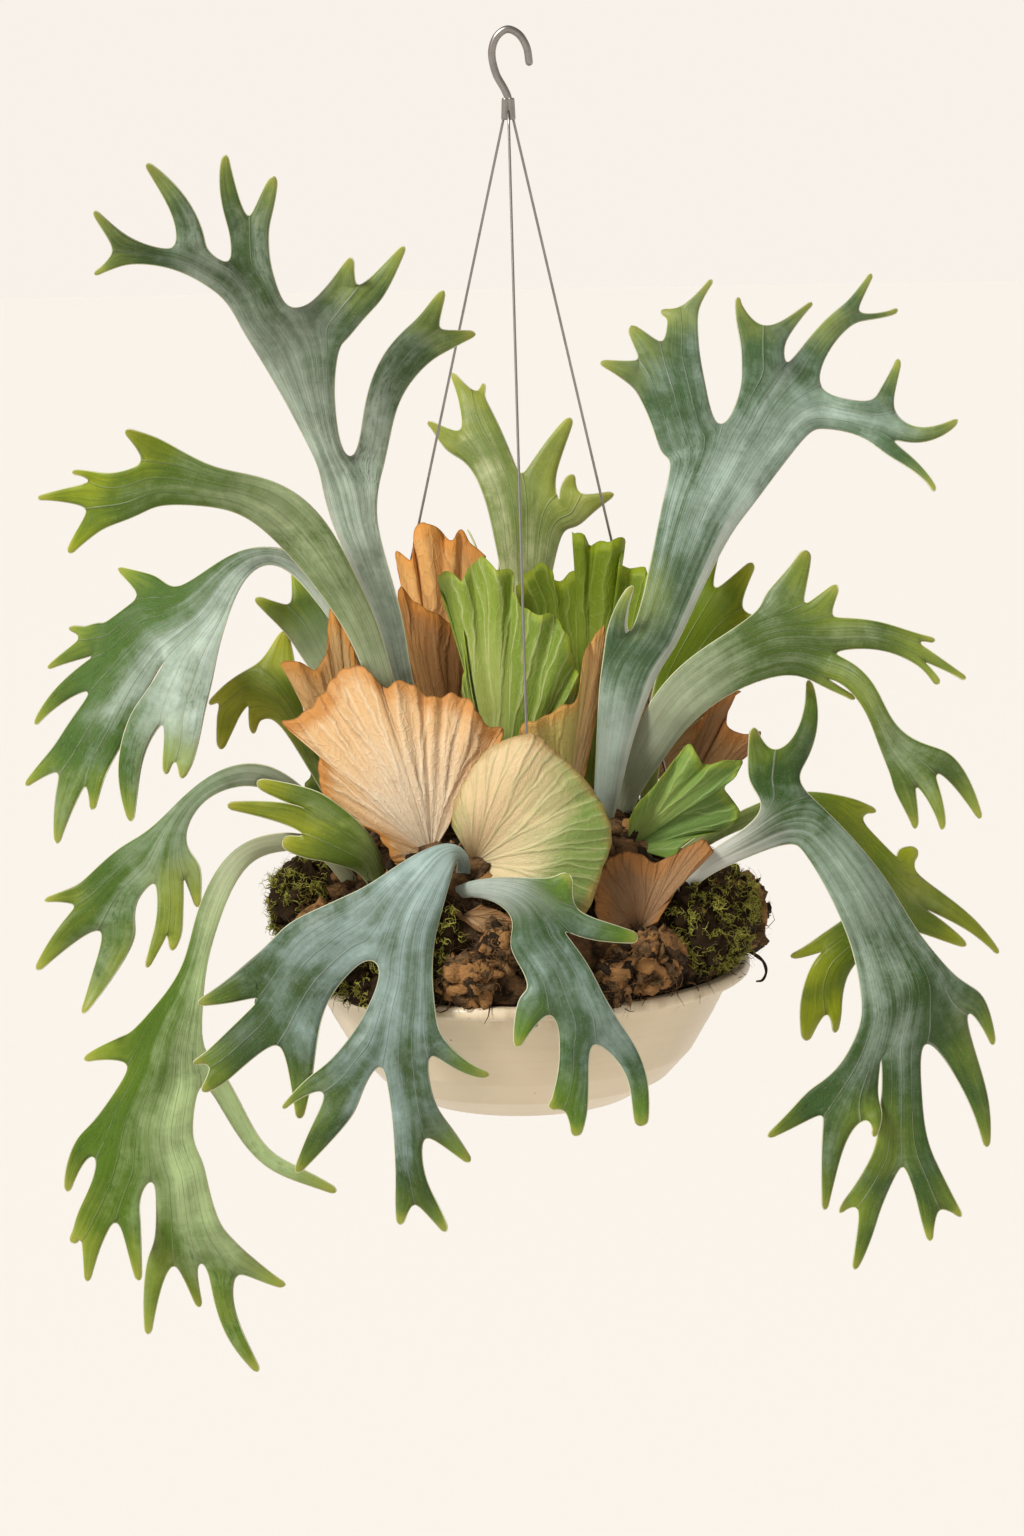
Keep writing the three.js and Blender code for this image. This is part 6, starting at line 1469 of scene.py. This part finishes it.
def bark_material(name, colour, light):
    """Fibrous bark: long dark grain, paler ridges, and a tone of its own for each chip. Where the tone is the
    height of a lump, its dark end is painted shade in the hollows and its pale end painted light on the tops.
    """
    paint = Paint(name)
    where = paint.where()
    tone, = paint.attributes("tone")
    grain = paint.noise(paint.stretched((90, 420, 260), (0.4, 0.5, 0.9)), 1.0, 5.0, 0.65, 0.8)
    rough = paint.noise(where, 320.0, 4.0, 0.65)
    paint.colour = lighter(colour, 0.3)
    paint.lay((colour, grain.step(0.34, 0.6)),
              (light, (grain * 0.5 + rough * 0.5).step(0.52, 0.72) * 0.75),
              # Pale for a high tone and dark for a low one: a chip's own tone, and on lumps painted light on
              # the tops and painted shade in the hollows.
              (light, (tone + (rough - 0.5) * 0.4).step(0.5, 1.0) * 0.7),
              (lighter(colour, 0.1), (tone + (rough - 0.5) * 0.3).step(0.5, 0.14) * 0.95))
    return paint.close(rough * 0.15 + 0.78, grain * 0.7 + rough * 0.5, 0.003, Specular_IOR_Level=0.2)


def moss_material(colour):
    """Moss: dark at the roots of its strands, yellow-green at their tips, with browner strands between."""
    paint = Paint("moss_strands")
    tone, reach = paint.attributes("tone", "reach")
    where = paint.where()
    patches = paint.noise(where, 45.0, 3.0)
    paint.colour = srgb((52, 36, 20))
    paint.lay((tuple(colour), reach.step(0.1, 0.6)),
              (srgb((226, 218, 110)), reach.step(0.25, 0.95) * tone.step(0.1, 0.8) * 0.8),
              (srgb((112, 78, 42)), (patches + (tone - 0.5) * 0.5).step(0.56, 0.7) * 0.8))
    return paint.close(0.85, paint.noise(where, 420.0, 4.0, 0.7), 0.003, Specular_IOR_Level=0.15)


# Operators

class FERN_OT_hanger(bpy.types.Operator):
    """Hook of bent steel rod, crimped ferrule and three wires with their stops"""

    bl_idname = "fern.hanger"
    bl_label = "Hanger"

    def execute(self, context):
        steel = steel_material(context.scene.fern_colours.steel)
        at, length = curve_through(HOOK_LINE)
        x, z = at(np.linspace(0, length, 120))[0].T
        points, faces = tube(np.stack([x, 0 * x, z], -1), ROD_RADIUS, 24, round_start=True)
        make_piece("hook_rod", to_frame(points), faces, "hook", steel)

        def crimp(r, z, turn):
            """Two lobes: the sleeve is half as wide from front to back."""
            return r * (0.5 + 0.5 * np.abs(np.cos(turn)) ** 0.8), z

        points, faces = lathe(dense(FERRULE_PROFILE, 0.3, 2), 60, crimp)
        make_piece("ferrule_sleeve", to_frame(points), faces, "ferrule", steel)
        stop, stop_faces = lathe(dense(STOP_PROFILE, 0.25, 1), 20)
        along = np.concatenate([np.linspace(0, 1, 60), [1.5, 2.0]])
        reach, height = (np.interp(along, [0, 1, 2], line) for line in (WIRE_RADII, WIRE_HEIGHTS))
        for node, azimuth in WIRE_AZIMUTHS.items():
            away = turned(np.array([1.0, 0, 0]), azimuth)
            wire = tube(np.outer(reach, away) + np.outer(height, [0, 0, 1]), WIRE_RADIUS, 10)
            points, faces = joined([wire, (stop + WIRE_HOLE_RADIUS * away, stop_faces)])
            make_piece(node + "_line", to_frame(points), faces, node, steel)
        return {"FINISHED"}


class FERN_OT_bowl(bpy.types.Operator):
    """Ceramic bowl with a rolled lip that was thrown a little unevenly"""

    bl_idname = "fern.bowl"
    bl_label = "Bowl"

    def execute(self, context):
        def thrown(r, z, turn):
            """Faint rings on the wall, and a lip that sinks, waves and has a few nicks."""
            near_lip = ease((z + 14) / 12)
            nicks = np.sin(turn * 31 + 1.0) + np.sin(turn * 47 + 2.0) + np.sin(turn * 19)
            wave = np.sin(turn * 3 + 0.6) * 0.35 + np.sin(turn * 7) * 0.2
            return (r * (1 + 0.0006 * np.sin(z * 0.9) * (1 - near_lip)),
                    z + near_lip * (wave - 0.12 * np.maximum(nicks, 0)) - 0.35 * near_lip)

        points, faces = lathe(dense(BOWL_PROFILE, 2.1, 1), 170, thrown)
        make_piece("bowl_ceramic", to_frame(points), faces, "bowl",
                   ceramic_material(context.scene.fern_colours.ceramic))
        return {"FINISHED"}


def on_dome(rng, count, low, high):
    """Places on the dome between two radii, with the way that its surface faces there."""
    turn = rng.uniform(0, TURN, count)
    r = np.sqrt(rng.uniform(low ** 2, high ** 2, count))
    slope = dome_height(r + 0.5) - dome_height(r - 0.5)
    ways = np.stack([-slope * np.cos(turn), -slope * np.sin(turn), np.ones(count)], -1)
    return np.stack([r * np.cos(turn), r * np.sin(turn), dome_height(r)], -1), unit(ways)


def on_lump(rng, at, radii, degrees, count):
    """Places on a clump that stand clear of the root ball, with the way that it faces there."""
    way = unit(rng.normal(size=(count * 3, 3)))
    spot = turned(way * radii, degrees) + at
    out = turned(way / radii, degrees)
    far = np.hypot(spot[:, 0], spot[:, 1])
    clear = (spot[:, 2] > dome_height(far) - 3) & ((spot[:, 2] > 0) | (far < DOME_RADIUS))
    return spot[clear][:count], unit(out[clear][:count])


def sprigs(rng, spot, ways, each, low, high):
    """Strands in sprigs: a few from each place, spread round its way, with a tone that they share."""
    count = len(spot)
    spot, ways = np.repeat(spot, each, axis=0), np.repeat(ways, each, axis=0)
    n = len(spot)
    lengths = np.repeat(rng.uniform(0.7, 1.25, count), each) * rng.uniform(low, high, n)
    tufts, tone, reach = strands(rng, spot + rng.normal(0, 0.6, (n, 3)), ways + rng.normal(0, 0.62, (n, 3)),
                                 lengths, rng.uniform(0.42, 0.95, n), SPRIG_STEPS, 0.4, 0.12)
    shared = np.repeat(rng.uniform(0, 1, count), each * (SPRIG_STEPS + 1) * 3)
    return tufts, 0.35 * tone + 0.65 * shared, reach


class FERN_OT_filling(bpy.types.Operator):
    """Root ball with its chips and fibres, moss, bark and coir clumps, and dry roots at the rim"""

    bl_idname = "fern.filling"
    bl_label = "Filling"

    def execute(self, context):
        sizes, colours = context.scene.fern_sizes, context.scene.fern_colours
        brown = tuple(colours.bark)
        soil = bark_material("potting_mix", lighter(brown, 0.5), srgb((150, 108, 70)))
        bark = bark_material("bark_chips", brown, srgb((172, 124, 72)))
        moss = moss_material(colours.moss)
        self.root_ball(soil)
        self.loose(bark, sizes.fibres)
        self.moss_patches(moss)
        for number, (node, (at, radii, degrees, kind)) in enumerate(TUFTS.items()):
            at, radii = np.array(at, float), np.array(radii, float)
            if kind == "moss":
                self.moss_clump(node, at, radii * 0.9, degrees, number, moss, sizes.moss_strands)
            else:
                self.bark_clump(node, at, radii, degrees, number, bark, kind)
        for node, line in CURLS.items():
            at, length = curve_through(np.array(line, float)[:, [2, 0, 1]])
            share = np.linspace(0, 1, 60)
            route = at(share * length)[0][:, [1, 2, 0]]
            wide = 1.3 * (1 - 0.45 * share ** 2) * (1 + 0.12 * np.sin(share * 30))
            points, faces = tube(route, wide, 10)
            make_piece(node + "_strand", to_frame(points), faces, node, bark,
                       {"tone": np.full(len(points), 0.1)})
        return {"FINISHED"}

    def root_ball(self, soil):
        """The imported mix: a dome on a foot that fills the bowl, with its top pushed out in nuggets."""
        radius = DOME_RADIUS * (1 - np.linspace(0, 1, 46) ** 1.6)
        profile = dense(np.concatenate([ROOT_BALL_FOOT, np.stack([radius, dome_height(radius)], -1)]), 3.4)
        profile[-1] = (0, DOME_HEIGHT)

        def rough(r, z, turn):
            p = np.stack([r * np.cos(turn), r * np.sin(turn), z], -1)
            push = (nuggets(p, 5, BALL_LUMPS) * 5.5 - 3.2) * ease((z + 2) / 8)
            return r * (1 + push / 160), z + push

        points, faces = lathe(profile, 208, rough)
        # The tone is the nuggets' height: hollows are darker as painted shade, tops paler as painted light.
        make_piece("root_ball_mass", to_frame(points), faces, "root_ball", soil,
                   {"tone": 0.75 * nuggets(points, 5, BALL_LUMPS)})

    def loose(self, bark, n):
        """Chips and fibres strewn over the dome, and root tips that hang over the lip."""
        rng = np.random.default_rng(11)
        where, ways = on_dome(rng, CHIP_COUNT, 40, 139)
        bits, tone = chips(rng, where, ways, 0.6, ((3.5, 11), (2.5, 6.5), (1.4, 3.6)))
        where, ways = on_dome(rng, n, 60, 140.5)
        outward = where * [1, 1, 0] / np.linalg.norm(where[:, :2], axis=1)[:, None]
        heading = ways * 0.35 + rng.normal(0, 0.8, (n, 3)) + outward * 0.3
        fibres, fibre_tone, _ = strands(rng, where - ways * 0.8, heading, rng.uniform(6, 15, n),
                                        rng.uniform(0.3, 0.62, n), 7, 0.6, 0.25)
        turn = rng.uniform(0, TURN, ROOT_TIPS)
        rim = np.stack([143.5 * np.cos(turn), 143.5 * np.sin(turn), np.full(ROOT_TIPS, 3.0)], -1)
        over = np.stack([np.cos(turn), np.sin(turn), rng.uniform(0.3, 0.7, ROOT_TIPS)], -1)
        hang, hang_tone, _ = strands(rng, rim, over + rng.normal(0, 0.25, (ROOT_TIPS, 3)),
                                     rng.uniform(10, 16, ROOT_TIPS), rng.uniform(0.9, 1.5, ROOT_TIPS),
                                     7, 0.4, 0.85)
        points, faces = joined([bits, fibres, hang])
        make_piece("loose_bark_and_fibres", to_frame(points), faces, None, bark,
                   {"tone": np.concatenate([tone, fibre_tone * 0.7, hang_tone * 0.4])}, "bark")

    def moss_patches(self, moss):
        """Sprigs of moss on the sides and the back of the dome, where smooth unevenness is high."""
        rng = np.random.default_rng(17)
        where, ways = on_dome(rng, 2600, 50, 138)
        thick = waves(where, 8, 62) + 0.35 * (where[:, 1] > 20)
        kept = (thick > 0.42) & ((np.abs(where[:, 0]) > 95) | (where[:, 1] > 0))
        where, ways = where[kept][:PATCH_SPRIGS], ways[kept][:PATCH_SPRIGS]
        (points, faces), tone, reach = sprigs(rng, where - ways * 0.4, ways + rng.normal(0, 0.3, where.shape),
                                              PATCH_SPRIG_SIZE, 3.5, 8.0)
        make_piece("moss_patches", to_frame(points), faces, None, moss, {"tone": tone, "reach": reach},
                   "moss")

    def moss_clump(self, node, at, radii, degrees, number, moss, most):
        """A dark uneven core under sprigs of moss, as many as its surface has room for."""
        rng = np.random.default_rng(100 + number)
        core, groups, _ = lump(at, radii, degrees, number, 0.45, MOSS_LUMPS, 40, 60)
        count = int(most / CLUMP_SPRIG_SIZE * min(1.0, np.prod(radii) ** (2 / 3) / 1150))
        spot, out = on_lump(rng, at, radii, degrees, count)
        spot = spot + out * (nuggets(spot, number, MOSS_LUMPS) * 7.0 - 3.5)[:, None]
        tufts, tone, reach = sprigs(rng, spot, out + rng.normal(0, 0.45, spot.shape), CLUMP_SPRIG_SIZE,
                                    4.0, 8.5)
        points, faces = joined([(core, groups), tufts])
        make_piece(node + "_tuft", to_frame(points), faces, node, moss,
                   {"tone": np.concatenate([np.full(len(core), 0.4), tone]),
                    "reach": np.concatenate([np.full(len(core), 0.12), reach])})

    def bark_clump(self, node, at, radii, degrees, number, bark, kind):
        """A core pushed out in nuggets, under chips and hairs. Coir has fewer chips and more hairs."""
        rng = np.random.default_rng(200 + number)
        core, groups, high = lump(at, radii * 0.92, degrees, number, 0.55, BARK_LUMPS, 58, 92)
        spot, out = on_lump(rng, at, radii, degrees, BARK_CHIPS[kind])
        bits, tone = chips(rng, spot - out * 1.4, out, 0.7, ((3, 11), (2.5, 6.5), (1.4, 4)))
        spot, out = on_lump(rng, at, radii, degrees, BARK_HAIRS[kind])
        n = len(spot)
        hairs, hair_tone, _ = strands(rng, spot - out * 1.5, out * 0.4 + rng.normal(0, 0.8, (n, 3)),
                                      rng.uniform(4, 11, n), rng.uniform(0.35, 0.75, n), 6, 0.8, 0.1)
        points, faces = joined([(core, groups), bits, hairs])
        make_piece(node + "_clump", to_frame(points), faces, node, bark,
                   # The core's tone is its nugget height, so its hollows get painted shade and its tops
                   # painted light.
                   {"tone": np.concatenate([0.95 * high, tone, 0.2 + 0.7 * hair_tone])})


class FERN_OT_antlers(bpy.types.Operator):
    """Forked antler fronds, each one blade from its foot to its tips"""

    bl_idname = "fern.antlers"
    bl_label = "Antler fronds"

    def execute(self, context):
        sizes = context.scene.fern_sizes
        paints = {node: antler_material(node, tints) for node, tints in ANTLER_TINTS.items()}
        fronds = {node: (node, 0) for node in ANTLERS}
        fronds.update(BACK_ANTLERS)
        for node, (like, turn) in fronds.items():
            sheet = antler_sheet(ANTLERS[like], sizes.camber, seed_of(node))
            frond_piece(node + "_blade", node, sheet, ("vein", "along", "edge", "tip", "x"), turn,
                        paints[like], sizes.antler_thickness, ANTLER_THINNING)
        return {"FINISHED"}


class FERN_OT_shields(bpy.types.Operator):
    """Shield fronds, each a frilled fan from its eye"""

    bl_idname = "fern.shields"
    bl_label = "Shield fronds"

    def execute(self, context):
        sizes = context.scene.fern_sizes
        paints = {node: shield_material(node, tints, FINISHES.get(SLOTS[node], DRY_FINISH))
                  for node, tints in SHIELD_TINTS.items()}
        fronds = {node: (node, 0) for node in SHIELDS}
        fronds.update({node: (like, BACK_TURN) for node, like in BACK_SHIELDS.items()})
        for node, (like, turn) in fronds.items():
            sheet = shield_sheet(SHIELDS[like], seed_of(node))
            frond_piece(node + "_fan", node, sheet, ("across", "along", "edge"), turn,
                        paints[like], sizes.shield_thickness, SHIELD_THINNING)
        return {"FINISHED"}


class FERN_OT_stage(bpy.types.Operator):
    """Plain pale floor, soft studio light and the camera"""

    bl_idname = "fern.stage"
    bl_label = "Studio"

    def execute(self, context):
        scene = context.scene
        self.floor(scene)
        self.surroundings(scene)
        self.key_light(scene)
        self.camera(scene)
        scene.view_settings.view_transform = "Standard"
        return {"FINISHED"}

    def floor(self, scene):
        """A wide disc far below the bowl."""
        points, groups = lathe([(0, -20), (40000, -20), (40000, 0), (2000, 0), (0, 0)], 64)
        paint = Paint("pale_floor")
        paint.colour = FLOOR_COLOUR
        paint.lay((lighter(FLOOR_COLOUR, 0.985), paint.noise(paint.where(), 60.0, 3.0)))
        mesh = bpy.data.meshes.new("floor")
        corners = [face.tolist() for group in groups for face in group]
        mesh.from_pydata(((points - [0, 0, FLOOR_DEPTH]) * MM).tolist(), [], corners)
        mesh.materials.append(paint.close(0.9))
        floor = bpy.data.objects.new("floor", mesh)
        scene.collection.objects.link(floor)

    def surroundings(self, scene):
        """Pale all round at eye level, and dimmer overhead so that the key light shapes the leaves."""
        world = bpy.data.worlds.new("studio")
        world.use_nodes = True
        tree = world.node_tree
        way, parts, rise = (tree.nodes.new("ShaderNode" + kind)
                            for kind in ("TexCoord", "SeparateXYZ", "MapRange"))
        for socket, value in (("From Min", 0.12), ("From Max", 0.45), ("To Min", 1.0), ("To Max", 0.4)):
            rise.inputs[socket].default_value = value
        tree.links.new(way.outputs["Generated"], parts.inputs[0])
        tree.links.new(parts.outputs[2], rise.inputs["Value"])
        tree.links.new(rise.outputs["Result"], tree.nodes["Background"].inputs["Strength"])
        tree.nodes["Background"].inputs["Color"].default_value = (*scene.fern_colours.backdrop, 1)
        scene.world = world

    def key_light(self, scene):
        """A soft sun from the upper left, in front."""
        lamp = bpy.data.lights.new("key", "SUN")
        lamp.angle = math.radians(16)
        lamp.energy = 3.2
        lamp.color = (1.0, 0.985, 0.96)
        holder = bpy.data.objects.new("key", lamp)
        holder.rotation_euler = Vector((-0.66, -0.52, 0.8)).to_track_quat("Z", "Y").to_euler()
        scene.collection.objects.link(holder)

    def camera(self, scene):
        """Looks at the point that the view turns about, from its distance, with a tilt of one degree."""
        camera = bpy.data.cameras.new("camera")
        camera.sensor_fit = "VERTICAL"
        camera.sensor_height = 36
        camera.lens = LENS
        camera.clip_end = 100
        eye = bpy.data.objects.new("camera", camera)
        away = Vector((0, -COS, SIN)) * LOOK_DISTANCE * MM
        eye.location = Vector((-0.005, 0, (LOOK_HEIGHT - HOOK_SEAT) * MM)) + away
        eye.rotation_mode = "QUATERNION"
        eye.rotation_quaternion = (-away).to_track_quat("-Z", "Y") @ Quaternion((0, 0, 1), math.radians(-1))
        scene.collection.objects.link(eye)
        scene.camera = eye


OPERATORS = (FERN_OT_stage, FERN_OT_hanger, FERN_OT_bowl, FERN_OT_filling, FERN_OT_shields, FERN_OT_antlers)


class FERN_PT_panel(bpy.types.Panel):
    """Lists the steps that make the fern"""

    bl_label = "Fern"
    bl_space_type = "VIEW_3D"
    bl_region_type = "UI"
    bl_category = "Fern"

    def draw(self, context):
        for group in (context.scene.fern_sizes, context.scene.fern_colours):
            for key in group.__annotations__:
                self.layout.prop(group, key)
        for operator in OPERATORS:
            self.layout.operator(operator.bl_idname)


CLASSES = (FernSizes, FernColours, *OPERATORS, FERN_PT_panel)


def register():
    for cls in CLASSES:
        bpy.utils.register_class(cls)
    bpy.types.Scene.fern_sizes = bpy.props.PointerProperty(type=FernSizes)
    bpy.types.Scene.fern_colours = bpy.props.PointerProperty(type=FernColours)


def unregister():
    del bpy.types.Scene.fern_colours
    del bpy.types.Scene.fern_sizes
    for cls in reversed(CLASSES):
        bpy.utils.unregister_class(cls)


def main():
    """Makes everything by its operators."""
    register()
    bpy.ops.fern.stage()
    bpy.ops.fern.hanger()
    bpy.ops.fern.bowl()
    bpy.ops.fern.filling()
    bpy.ops.fern.shields()
    bpy.ops.fern.antlers()
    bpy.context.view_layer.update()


if __name__ == "__main__":
    main()
